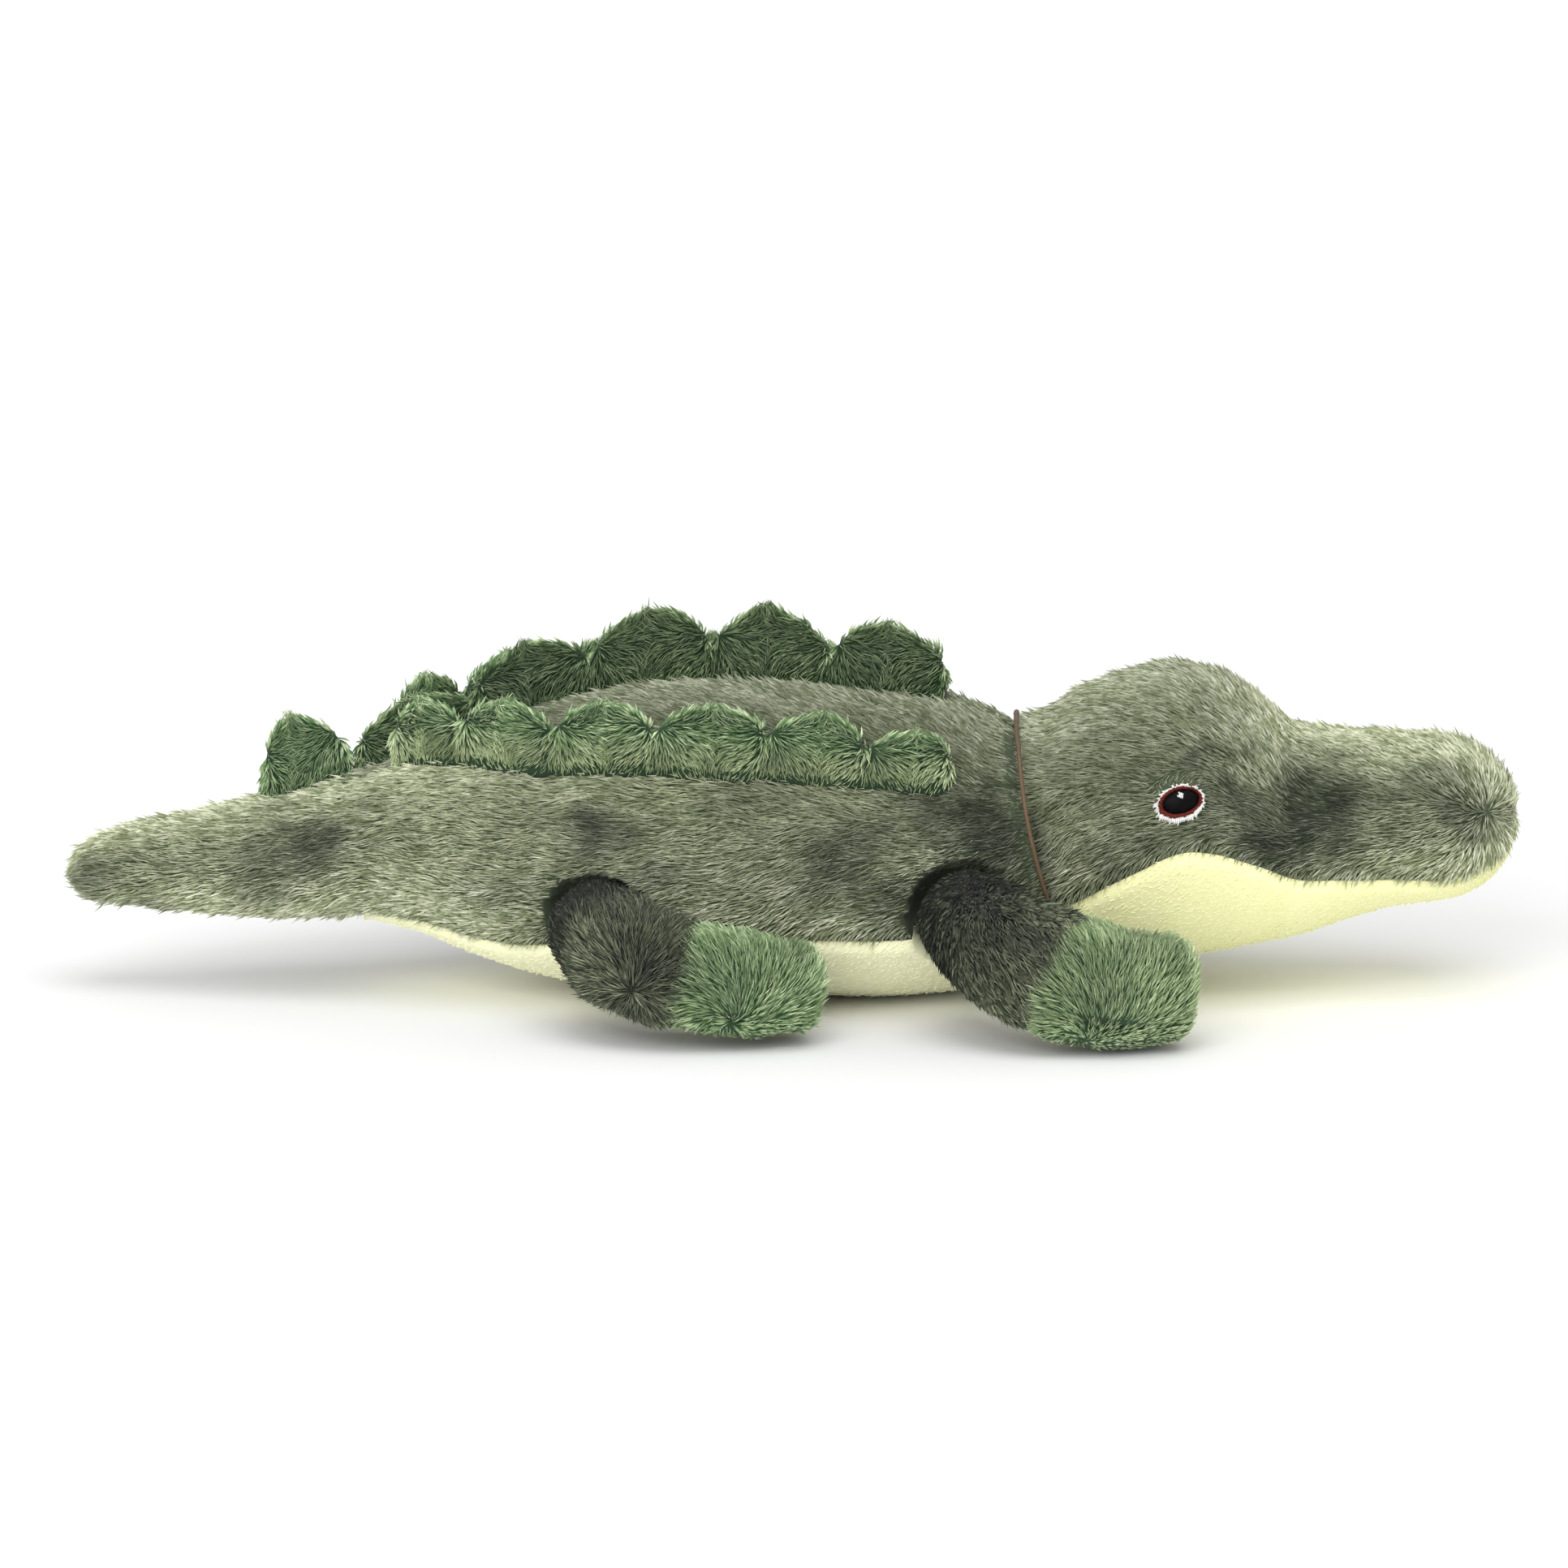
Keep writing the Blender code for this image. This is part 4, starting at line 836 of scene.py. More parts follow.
# Blotches seen in the photograph: x, height, half length, half height, strength
right_blotches = (
    (-0.108, 0.038, 0.006, 0.006, 1.0),
    (-0.113, 0.042, 0.006, 0.003, 0.9),
    (-0.160, 0.026, 0.009, 0.009, 0.6),
    (-0.146, 0.022, 0.007, 0.004, 0.5),
    (-0.048, 0.043, 0.006, 0.005, 0.8),
    (-0.040, 0.041, 0.005, 0.004, 0.5),
    (-0.063, 0.028, 0.011, 0.005, 0.35),
    (-0.003, 0.055, 0.011, 0.006, 0.4),
    (0.010, 0.037, 0.009, 0.010, 0.8),
    (0.018, 0.045, 0.009, 0.006, 0.6),
    (0.041, 0.050, 0.014, 0.010, 0.85),
    (0.048, 0.040, 0.010, 0.014, 0.85),
    (0.024, 0.030, 0.008, 0.008, 0.7),
    (0.030, 0.060, 0.010, 0.004, 0.5),
    (0.078, 0.041, 0.018, 0.005, 0.45),
    (0.098, 0.060, 0.010, 0.004, 0.6),
    (0.092, 0.056, 0.006, 0.006, 0.4),
    (0.107, 0.051, 0.009, 0.005, 0.65),
    (0.120, 0.046, 0.010, 0.012, 1.15),
    (0.111, 0.040, 0.012, 0.007, 0.95),
    (0.075, 0.066, 0.015, 0.006, 0.40),
    (0.133, 0.047, 0.013, 0.005, 0.6),
    (0.156, 0.044, 0.004, 0.005, 0.5),
    (0.060, 0.058, 0.012, 0.004, 0.4),
)
LEFT_SHIFT = 0.017
BLOTCH_WARP = 0.0060
BLOTCH_WARP_SIZE = 0.0075
BLOTCH_SIDE = (0.1, 0.4)
RAGGED_SIZE = 0.006
RAGGED = 0.25
SLOW_SIZE = 0.017
SLOW_RANGE = (0.25, 0.75)
SLOW_STRENGTH = 0.4


def blotches(points):
    """How dark the print is: soft spots on the right as in the photograph, the same spots moved along
    on the left, and slow noise between them."""
    total = np.zeros(points.shape[:-1])
    warps = [soft_noise(points, BLOTCH_WARP_SIZE, seed) for seed in (34, 35, 36)]
    warped = points + BLOTCH_WARP * np.stack(warps, axis=-1)
    for x, height, long, high, strength in right_blotches:
        shifted = x + LEFT_SHIFT * (points[..., 1] > 0)
        away = ((warped[..., 0] - shifted) / long) ** 2 + ((warped[..., 2] - height) / high) ** 2
        near_side = fade(np.abs(points[..., 1]) / half_width_at(points[..., 0]), *BLOTCH_SIDE)
        total = np.maximum(total, strength * np.exp(-away) * near_side)
    ragged = soft_noise(points, RAGGED_SIZE, 31) * RAGGED
    slow = soft_noise(points * (0.7, 1, 1), SLOW_SIZE, 32) + ragged
    slow = fade(slow, *SLOW_RANGE) * SLOW_STRENGTH
    return np.clip(np.maximum(total * (1 + ragged), slow), 0, 1)


def edge_distance(points):
    """The distance from each point of a grid to the nearer end of its row, along the row."""
    steps = np.linalg.norm(np.diff(points, axis=1), axis=-1)
    along = np.concatenate([np.zeros((len(points), 1)), np.cumsum(steps, axis=1)], axis=1)
    return np.minimum(along, along[:, -1:] - along)


def panel_places(low, high, rear, front, caps, step=GRID_STEP):
    """x and angle for each point of a panel's grid. Columns crowd towards the seams by a cosine, and
    rows crowd towards a rounded end in the same way."""
    sample = np.linspace(*caps["span"], 12)[:, None]
    across = np.linspace(0, 1, 60)
    arcs = bag(sample, low(sample) + (high(sample) - low(sample)) * across)
    widest = np.linalg.norm(np.diff(arcs, axis=1), axis=-1).sum(axis=1).max()
    share = (1 - np.cos(np.linspace(0, np.pi, int(widest * 1.35 / step) + 8))) / 2

    def angle_at(x):
        return low(x) + (high(x) - low(x)) * share

    start = rear(angle_at) if callable(rear) else np.full_like(share, rear)
    end = front(angle_at) if callable(front) else np.full_like(share, front)
    rows = int(abs(caps["span"][1] - caps["span"][0]) / step) + 2
    x = mix(start, end, np.linspace(0, 1, rows)[:, None])
    if caps["cap"]:
        turns = np.radians(np.linspace(0, 88, int(abs(caps["cap"]) * 1.5 / step) + 4))[1:, None]
        x = np.concatenate([x, end + caps["cap"] * np.sin(turns)])
    return x, angle_at(x)


def push_in(points, normals, clearance, balls=leg_roots):
    """Moves cloth near a leg's root inwards onto a ball about that root: by the square root of the
    ball's radius squared less the distance squared."""
    for root, radius in balls:
        reach = radius + clearance
        away = np.linalg.norm(points - root, axis=-1)
        depth = np.sqrt(np.maximum(reach**2 - away**2, 0))
        points = points - normals * depth[..., None]
    return points


def neck_crease(points):
    """The crease along the neck seam, from 0 to 1: exp(-(d/W)^2) at the distance d from the seam."""
    away = points[..., 0] - neck_seam_x(points[..., 2])
    return np.exp(-((away / CREASE_WIDTH) ** 2))


def panel_cloth(
    low, high, rear, front, caps, depth, blotched,
    inset=None, lean=NAP_LEAN, crown_lift=0.0, whorl=None, painted_shade=0.0, hang=None,
):
    """The cloth of a panel and the grid behind it. The outer grid is the bag's surface less the pile's
    depth, a groove D exp(-(d/W)^2) at the distance d from a seam, the same kind of crease at the neck,
    and lumps of noise. The nap runs to the tail and leans down by a share, or out of a whorl near it.
    Fur hangs over the seam of the first column if hang is 0, and over the last column's if it is 1."""
    x, angle = panel_places(low, high, rear, front, caps)
    surface = bag(x, angle)
    normals, towards_tail = bag_directions(x, angle)
    from_seam = edge_distance(surface)
    groove = GROOVE_DEPTH * np.exp(-((from_seam / GROOVE_WIDTH) ** 2))
    lump = LUMP_HEIGHT * soft_noise(surface, LUMP_SIZE, 5)
    crease = neck_crease(surface)
    ends = fade(surface[..., 0], nose_cap_x, nose_x) + fade(-surface[..., 0], -tail_cap_x, -tip_x)
    deep = depth * (1 - END_THINNING * ends) + groove + lump + CREASE_DEPTH * crease
    if inset is not None:
        deep = inset(surface, deep)
    points = surface - normals * deep[..., None]
    points = push_in(points, normals, ROOT_CLEARANCE)
    if not blotched:
        points = push_in(points, normals, ROOT_CLEARANCE, swung_roots)
    points[..., 2] = np.maximum(points[..., 2], deep * LYING_SHARE)
    lean = lean + NAP_WANDER * soft_noise(surface, NAP_WANDER_SIZE, 7)
    lean = lean - crown_lift * fade(surface[..., 2], *CROWN_HEIGHTS)
    nap = towards_tail + np.array([0, 0, -1]) * lean[..., None]
    if whorl is not None:
        away = surface - whorl
        near = 1 - fade(np.linalg.norm(away, axis=-1, keepdims=True), *WHORL_REACH)
        nap = mix(nap, unit(away), near * WHORL_SHARE)
    if hang is not None:
        steps = unit(np.gradient(surface, axis=1))
        column = np.arange(surface.shape[1]) / surface.shape[1]
        nearer = column < 0.5 if hang == 0 else column > 0.5
        near = HANG_SHARE * np.exp(-((from_seam / HANG_WIDTH) ** 2)) * nearer
        nap = mix(nap, -steps if hang == 0 else steps, near[..., None])
    behind = points - normals * CLOTH_THICKNESS
    behind[..., 2] = np.maximum(behind[..., 2], SHEET_FLOOR)
    in_socket = np.zeros_like(x)
    by_socket = np.zeros_like(x)
    lining = np.zeros_like(x)
    for root, radius in leg_roots:
        away = np.linalg.norm(surface - root, axis=-1) / radius
        in_socket = np.maximum(in_socket, away < SOCKET_SHARE)
        by_socket = np.maximum(by_socket, 1 - fade(away, *BY_SOCKET))
        lining = np.maximum(lining, 1 - fade(away, *LINING_REACH))
    under = fade(-normals[..., 2], *UNDER_SLOPES)
    # Painted shade: the back panels, whose dye is also darker, and the crown are darkened above these
    # heights, ending before the snout
    high_up = fade(surface[..., 2], *PAINTED_SHADE_HEIGHTS)
    painted_shade_part = painted_shade * high_up * (1 - fade(surface[..., 0], *PAINTED_SHADE_END))
    crowd = (1 - in_socket * SOCKET_THINNING) * (1 - UNDER_THINNING * under)
    blotch = np.maximum(blotches(surface), painted_shade_part) if blotched else lining
    long = (1 - CREASE_SHORTENING * crease) * (1 - SOCKET_SHORTENING * by_socket)
    return Cloth(points, normals, nap, blotch, crowd, long), behind


torso_caps = {"span": (tail_root_x, neck_x), "cap": 0}
head_caps = {"span": (neck_x, nose_cap_x), "cap": NOSE_CAP}
tail_caps = {"span": (tail_root_x, tail_cap_x), "cap": -TAIL_CAP}
spine = straight(90)

# %% [markdown]
# ## The torso's skins
# Five panels: two flanks, two back panels and the belly. On the real toy the flanks are one pattern
# piece cut twice, once turned over, and so are the back panels. The nap of the back leans up to the
# spine, and the flank's fur hangs over the belly seam.

# %% Torso skins
# The bodies that a piece lies between, and where a bend between them would start and end
WITH_HEAD = (("torso", "head"), ((0.060, 0, 0.04), (0.094, 0, 0.04)))
WITH_TAIL = (("torso", "tail"), ((-0.090, 0, 0.035), (-0.118, 0, 0.035)))


def dress(piece, bodies, bend, slot, nodes, fill=None):
    """Sets a piece on one body, or leaves it fixed in place between two, and hides the model's parts
    that it replaces.
    """
    if bend:
        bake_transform(piece)
    else:
        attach(piece, bodies)
    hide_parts(*nodes)


FUR_FILL = 0.85
VELOUR_FILL = 0.8
CREST_FILL = 0.9
BELLY_HAIR_FLOOR = 0.0001
# Name, lower and upper seam, lean of the nap, how dark its top is with painted shade, the seam that it
# hangs over, seed
torso_panels = (
    ("flank_left", belly_seam, crest_seam, 0.08, 0.0, 0, 11),
    ("back_left", crest_seam, spine, -0.40, 0.48, None, 12),
    ("back_right", spine, other_seam(crest_seam), -0.40, 0.48, None, 13),
    ("flank_right", other_seam(crest_seam), other_seam(belly_seam), 0.08, 0.0, 1, 14),
)
for name, low, high, lean, painted_shade, hang, seed in torso_panels:
    cloth, behind = panel_cloth(
        low, high, tail_crossing, neck_crossing, torso_caps, BODY_DEPTH, True,
        lean=lean, painted_shade=painted_shade, hang=hang,
    )
    piece = furry(f"{name}_fur", cloth, behind, BODY_PILE, seed, sage_fur)
    dress(piece, *WITH_TAIL, "body_fur", [f"{name}_skin"], FUR_FILL)

cloth, behind = panel_cloth(
    other_seam(belly_seam), turn_on(belly_seam), tail_crossing, neck_crossing, torso_caps,
    VELOUR_DEPTH, False,
)
piece = furry("belly_velour", cloth, behind, VELOUR_PILE, 15, painted_light_velour, lowest=BELLY_HAIR_FLOOR)
dress(piece, *WITH_TAIL, "belly_plush", ["belly_skin"], VELOUR_FILL)

# %% [markdown]
# ## The head's skins
# Two fur panels meet over the crown, and a pale chin panel lies between the jaw seams. The nap starts
# in a whorl on the nose and runs back over the crown. Embroidery pulls the cloth flat under each eye,
# and the hairs above the eye are combed down to it, as a brow.

# %% Head skins
EYE_X = neck_x + 0.296 * HEAD_LENGTH
EYE_ANGLE = 12.1
EYE_LENGTH = 0.0122
EYE_HEIGHT = 0.0090
EYE_TILT = math.radians(15)


def eye_reach(surface):
    """How far a point is from an eye's middle, where 1 is the eye's edge."""
    middle = bag(np.float64(EYE_X), np.float64(EYE_ANGLE))
    forward = surface[..., 0] - middle[0]
    upward = surface[..., 2] - middle[2]
    major = forward * math.cos(EYE_TILT) + upward * math.sin(EYE_TILT)
    minor = upward * math.cos(EYE_TILT) - forward * math.sin(EYE_TILT)
    return np.hypot(major / (EYE_LENGTH / 2), minor / (EYE_HEIGHT / 2))


EYE_BED_REACH = (0.95, 1.35)
EYE_BED_DEPTH = 0.0011


def eye_bed(surface, deep):
    """Embroidery draws the cloth up to just under the threads."""
    near = 1 - fade(eye_reach(surface), *EYE_BED_REACH)
    return mix(deep, EYE_BED_DEPTH, near)


NOSE_WHORL = np.array([0.1563, 0.0150, 0.0440])
HEAD_LEAN = 0.05
CROWN_LIFT = 0.45
# How much painted shade darkens the crown
HEAD_PAINTED_SHADE = 0.32
HAIRLESS_REACH = 0.97
BROW_HEIGHTS = (0.2, 0.8)
BROW_REACH = (1.15, 1.6)
BROW_COMBING = 0.8
BROW_SHORTENING = 0.5
head_panels = (
    ("head_left", chin_seam, spine, 1, 21),
    ("head_right", spine, other_seam(chin_seam), -1, 22),
)
for name, low, high, side_sign, seed in head_panels:
    whorl = NOSE_WHORL * (1, side_sign, 1)
    cloth, behind = panel_cloth(
        low, high, neck_crossing, nose_cap_x, head_caps, BODY_DEPTH, True,
        eye_bed, HEAD_LEAN, CROWN_LIFT, whorl, HEAD_PAINTED_SHADE, 0 if side_sign > 0 else 1,
    )
    reach = eye_reach(cloth.points)
    cloth.crowd = cloth.crowd * (reach > HAIRLESS_REACH)
    eye_middle = bag(np.float64(EYE_X), np.float64(EYE_ANGLE)) * (1, side_sign, 1)
    above_eye = (cloth.points[..., 2] - eye_middle[2]) / (EYE_HEIGHT / 2)
    brow = fade(above_eye, *BROW_HEIGHTS) * (1 - fade(reach, *BROW_REACH))
    to_eye = eye_middle - cloth.points
    to_eye = unit(to_eye - cloth.normals * dot(to_eye, cloth.normals))
    cloth.nap = unit(mix(cloth.nap, to_eye, BROW_COMBING * brow[..., None]))
    cloth.long = cloth.long * (1 - BROW_SHORTENING * brow)
    piece = furry(f"{name}_fur", cloth, behind, BODY_PILE, seed, sage_fur)
    dress(piece, *WITH_HEAD, "body_fur", [f"{name}_skin"], FUR_FILL)

cloth, behind = panel_cloth(
    other_seam(chin_seam), turn_on(chin_seam), neck_crossing, nose_cap_x, head_caps, VELOUR_DEPTH, False
)
piece = furry("chin_velour", cloth, behind, VELOUR_PILE, 23, yellow_velour)
dress(piece, *WITH_HEAD, "belly_plush", ["chin_skin"], VELOUR_FILL)

# %% [markdown]
# ## The tail's skins
# Two fur panels run from the ridge to the keel and close over the tip.

# %% Tail skins
tail_panels = (
    ("tail_left", straight(-90), spine, 31),
    ("tail_right", spine, straight(270), 32),
)
for name, low, high, seed in tail_panels:
    cloth, behind = panel_cloth(low, high, tail_crossing, tail_cap_x, tail_caps, BODY_DEPTH, True)
    piece = furry(f"{name}_fur", cloth, behind, BODY_PILE, seed, sage_fur)
    dress(piece, *WITH_TAIL, "body_fur", [f"{name}_skin"], FUR_FILL)

# %% [markdown]
# ## Crests
# Each crest is a padded strip of shaggy green plush, cut in scallops and sewn into a seam. Its section
# is half an ellipse that leans from the skin's normal towards upright. Its height rises over each scute
# as a power of half a sine wave. The pile fans out from a point in the upper half of each scute.

# %% Crest shapes
CREST_LEAN_SHARE = 0.5
SCUTE_FULLNESS = 0.60
FAN_HEIGHT_SHARE = 0.60
FAN_SPREAD = 1.4
FAN_FADE = 1.5
CREST_STEP = 0.0007
CREST_COLUMNS = 26
CREST_END = 0.0035
CREST_DEPTH = 0.0014
CREST_SIDE_DEPTH = 0.0011
CREST_SINK = 0.0026
CREST_WAIST = 0.18
CREST_LUMP = 0.06
CREST_LUMP_SIZE = 0.007
CREST_SQUARENESS = 0.85
CREST_TURN_PAST = 0.12
# How the fan of hairs is weighted backwards and downwards, and heights above the seam between which the
# painted light of the lower edge ends, the hairs start and they reach their full length
FAN_BACK = 0.001
FAN_DOWN = 0.7
PAINTED_LIGHT_HEIGHTS = (0.0035, 0.0085)
CREST_LOWEST = -0.0026
CROWD_FADE = 0.0010
FOOT_HAIR_SHARE = 0.55
FOOT_HAIR_TOP = 0.0035


def crest_cloth(
    front, length, seam, pitch_shares, scute_shares, sizes,
    mirrored=False, painted_light_share=0.0, skew=1.0, lowest=CREST_LOWEST, fullness=SCUTE_FULLNESS,
):
    """The cloth of a padded strip along a seam, and the grid behind it. Its sizes are the height of a
    peak P, the height of a valley V and the thickness. At the share s of a scute the height is
    V + (P - V) sin(pi s^skew)^fullness. A skew under 1 moves each peak forward."""
    peak, valley, thickness = sizes
    bounds = np.concatenate([[0], np.cumsum(pitch_shares)]) / sum(pitch_shares)
    rows = int(length / CREST_STEP)
    share = np.linspace(0.0005, 0.9995, rows)
    number = np.clip(np.searchsorted(bounds, share) - 1, 0, len(scute_shares) - 1)
    inside = ((share - bounds[number]) / (bounds[number + 1] - bounds[number])) ** skew
    own = np.array(scute_shares)[number]
    middles = (bounds[1:] + bounds[:-1]) / 2
    height = valley * np.interp(share, middles, scute_shares)
    height += own * (peak - valley) * np.sin(np.pi * inside) ** fullness
    x = front - length * share
    angle = seam(x)
    foot = bag(x, angle)
    normal, towards_tail = bag_directions(x, angle)
    along = unit(np.gradient(foot, axis=0))
    lean = unit(normal * (1 - CREST_LEAN_SHARE) + np.array([0, 0, CREST_LEAN_SHARE]))
    across = unit(np.cross(along, lean))
    from_end = np.minimum(share, 1 - share) * length
    rounding = np.sqrt(1 - (1 - np.clip(from_end / CREST_END, 0, 1)) ** 2)
    lump = 1 + CREST_LUMP * soft_noise(foot, CREST_LUMP_SIZE, 51)
    puff = 1 - CREST_WAIST * (1 - np.sin(np.pi * inside) ** fullness)
    half = (thickness / 2 - CREST_SIDE_DEPTH) * rounding * lump * puff
    tall = (height - CREST_DEPTH + CREST_SINK) * rounding * lump
    turn = np.linspace(-CREST_TURN_PAST, np.pi + CREST_TURN_PAST, CREST_COLUMNS)
    sideways = across[:, None] * (half[:, None] * np.cos(turn))[..., None]
    upwards = lean[:, None] * (tall[:, None] * power(np.sin(turn), CREST_SQUARENESS))[..., None]
    points = foot[:, None] - lean[:, None] * CREST_SINK + sideways + upwards
    normals = surface_normals(points)
    middle = foot[:, None] + lean[:, None] * (tall / 3)[:, None, None]
    normals = normals * np.sign(dot(normals, points - middle).sum())
    fan_share = (inside - 0.5) * np.sin(np.pi * inside) ** FAN_FADE
    from_middle = fan_share * FAN_SPREAD * length * np.diff(bounds)[number]
    above_foot = dot(points - foot[:, None], lean[:, None])
    fan = along[:, None] * -from_middle[:, None, None]
    rise = above_foot - peak * FAN_HEIGHT_SHARE * own[:, None, None]
    nap = fan + lean[:, None] * np.where(rise < 0, rise * FAN_DOWN, rise) + towards_tail[:, None] * FAN_BACK
    if mirrored:
        points, normals, nap = (field * (1, -1, 1) for field in (points, normals, nap))
    # Painted light: a side crest's lower edge is lightened towards the shag's pale blotched colour
    painted_light_low = 1 - fade(above_foot[..., 0], *PAINTED_LIGHT_HEIGHTS)
    crowd = fade(above_foot[..., 0], lowest, lowest + CROWD_FADE)
    short = mix(FOOT_HAIR_SHARE, 1, fade(above_foot[..., 0], 0, FOOT_HAIR_TOP))
    cloth = Cloth(points, normals, nap, painted_light_low * painted_light_share, crowd, short)
    return cloth, points - normals * CLOTH_THICKNESS


# %% [markdown]
# ## The four crests on the toy
# The spine crest has five scutes, each side crest six and the tail one. Their widths and heights are
# read from the photograph as shares of the strip. A side crest's scutes lean forward a little, and its
# lower edge carries painted light, as it faces the light. The spine crest's shag is a darker copy with
# painted shade. The spine crest is sewn into the tail's seam, and the side crests stop before it.

# %% The four crests
SPINE_FRONT_X = tail_root_x + 0.87 * TORSO_LENGTH
SPINE_REAR_X = tail_root_x - 0.008 * TORSO_LENGTH
SPINE_SIZES = (0.0145, 0.0055, 0.0078)
spine_shares = (0.96, 1.0, 1.02, 0.94, 0.62)
SIDE_FRONT_X = tail_root_x + 0.875 * TORSO_LENGTH
SIDE_LENGTH = 0.1265
SIDE_SIZES = (0.0150, 0.0065, 0.0080)
side_pitches = (0.159, 0.175, 0.197, 0.176, 0.167, 0.126)
SIDE_SKEW = 0.80
SIDE_PAINTED_LIGHT = 0.80
side_shares = (0.76, 0.98, 1.02, 1.0, 0.92, 0.80)
TAIL_SCUTE_LENGTH = 0.0208
TAIL_SCUTE_SETBACK = -0.0018
TAIL_SCUTE_SIZES = (0.0148, 0.0030, 0.0085)
TAIL_SKEW = 1.4
TAIL_FULLNESS = 0.46
# Hairs of the spine crest start higher up its sides, where the back's fur stands against it
SPINE_LOWEST = -0.0014
tail_scute_x = float(tail_crossing(spine)) - TAIL_SCUTE_SETBACK

cloth, behind = crest_cloth(
    SPINE_FRONT_X, SPINE_FRONT_X - SPINE_REAR_X, spine, np.ones(5), spine_shares, SPINE_SIZES,
    lowest=SPINE_LOWEST,
)
piece = furry("spine_crest_pile", cloth, behind, CREST_PILE, 41, painted_shade_shag)
dress(piece, *WITH_TAIL, "green_fur", ["spine_crest"], CREST_FILL)
for side, mirrored in (("left", False), ("right", True)):
    cloth, behind = crest_cloth(
        SIDE_FRONT_X, SIDE_LENGTH, crest_seam, side_pitches, side_shares, SIDE_SIZES,
        mirrored, SIDE_PAINTED_LIGHT, SIDE_SKEW,
    )
    piece = furry(f"side_crest_{side}_pile", cloth, behind, CREST_PILE, 42 + mirrored, green_shag)
    dress(piece, "torso", None, "green_fur", [f"side_crest_{side}"], CREST_FILL)
cloth, behind = crest_cloth(
    tail_scute_x, TAIL_SCUTE_LENGTH, spine, np.ones(1), (1.0,), TAIL_SCUTE_SIZES,
    skew=TAIL_SKEW, fullness=TAIL_FULLNESS,
)
piece = furry("tail_scute_pile", cloth, behind, CREST_PILE, 44, green_shag)
dress(piece, *WITH_TAIL, "green_fur", ["tail_scute"], CREST_FILL)

# %% [markdown]
# ## Legs
# A leg is a stuffed tube: a dark sleeve sewn along its underside, and a green foot of two panels, a top
# and a sole. Its section is a circle at the root and a superellipse at the foot, carried along a curve.
# The pile grows out of a whorl on each piece, as the cutter laid the pattern across the fur's grain.

# %% Leg shapes
FOOT_HEIGHT = 0.0265
TOE_RISE = 0.0010
FOOT_WIDTH = 0.0300
TOE_WIDTH = 0.0285
FOOT_ROUNDNESS = 2.8
TOE_CAP = 0.0090
ROOT_STAND_OFF = 0.0006
LEG_STEP = 0.0013
SLEEVE_DEPTH = 0.0024
FOOT_DEPTH = 0.0026
LEG_LUMP_SIZE = 0.011
LEG_FLOOR = 0.0004
LEG_HAIR_FLOOR = 0.0002
LEG_LYING_SHARE = 0.6
LOW_HAIR_SHARE = 0.4
LOW_HAIR_HEIGHTS = (0.003, 0.011)
WHORL_CROWD = 2.2
WHORL_RADIUS = 0.003
# Root along the torso and its height, the path and radii of the sleeve, the foot's height and sag, the
# ankle's lean, where the foot is sewn on, and each whorl's share along its piece and its angle round it
legs = {
    "hind_leg": {
        "root": (0.353, 0.0220),
        "path": ((0.007, 0.0178, 0.0198), (0.0215, 0.0220, 0.0160), (0.043, 0.0172)),
        "radii": (0.0130, 0.0135, 0.0130),
        "toe_height": 0.0240,
        "sag": 0.0010,
        "tilt": 0.29,
        "seam": 0.93,
        "sleeve_whorl": (0.80, -14),
        "foot_whorl": (0.42, -34),
    },
    "front_leg": {
        "root": (0.902, 0.0240),
        "path": ((0.008, 0.0218, 0.0220), (0.0245, 0.0288, 0.0170), (0.043, 0.0245)),
        "radii": (0.0135, 0.0138, 0.0136),
        "toe_height": 0.0268,
        "sag": 0.0034,
        "tilt": 0.49,
        "seam": 0.87,
        "sleeve_whorl": (0.05, 80),
        "foot_whorl": (0.42, -52),
    },
}


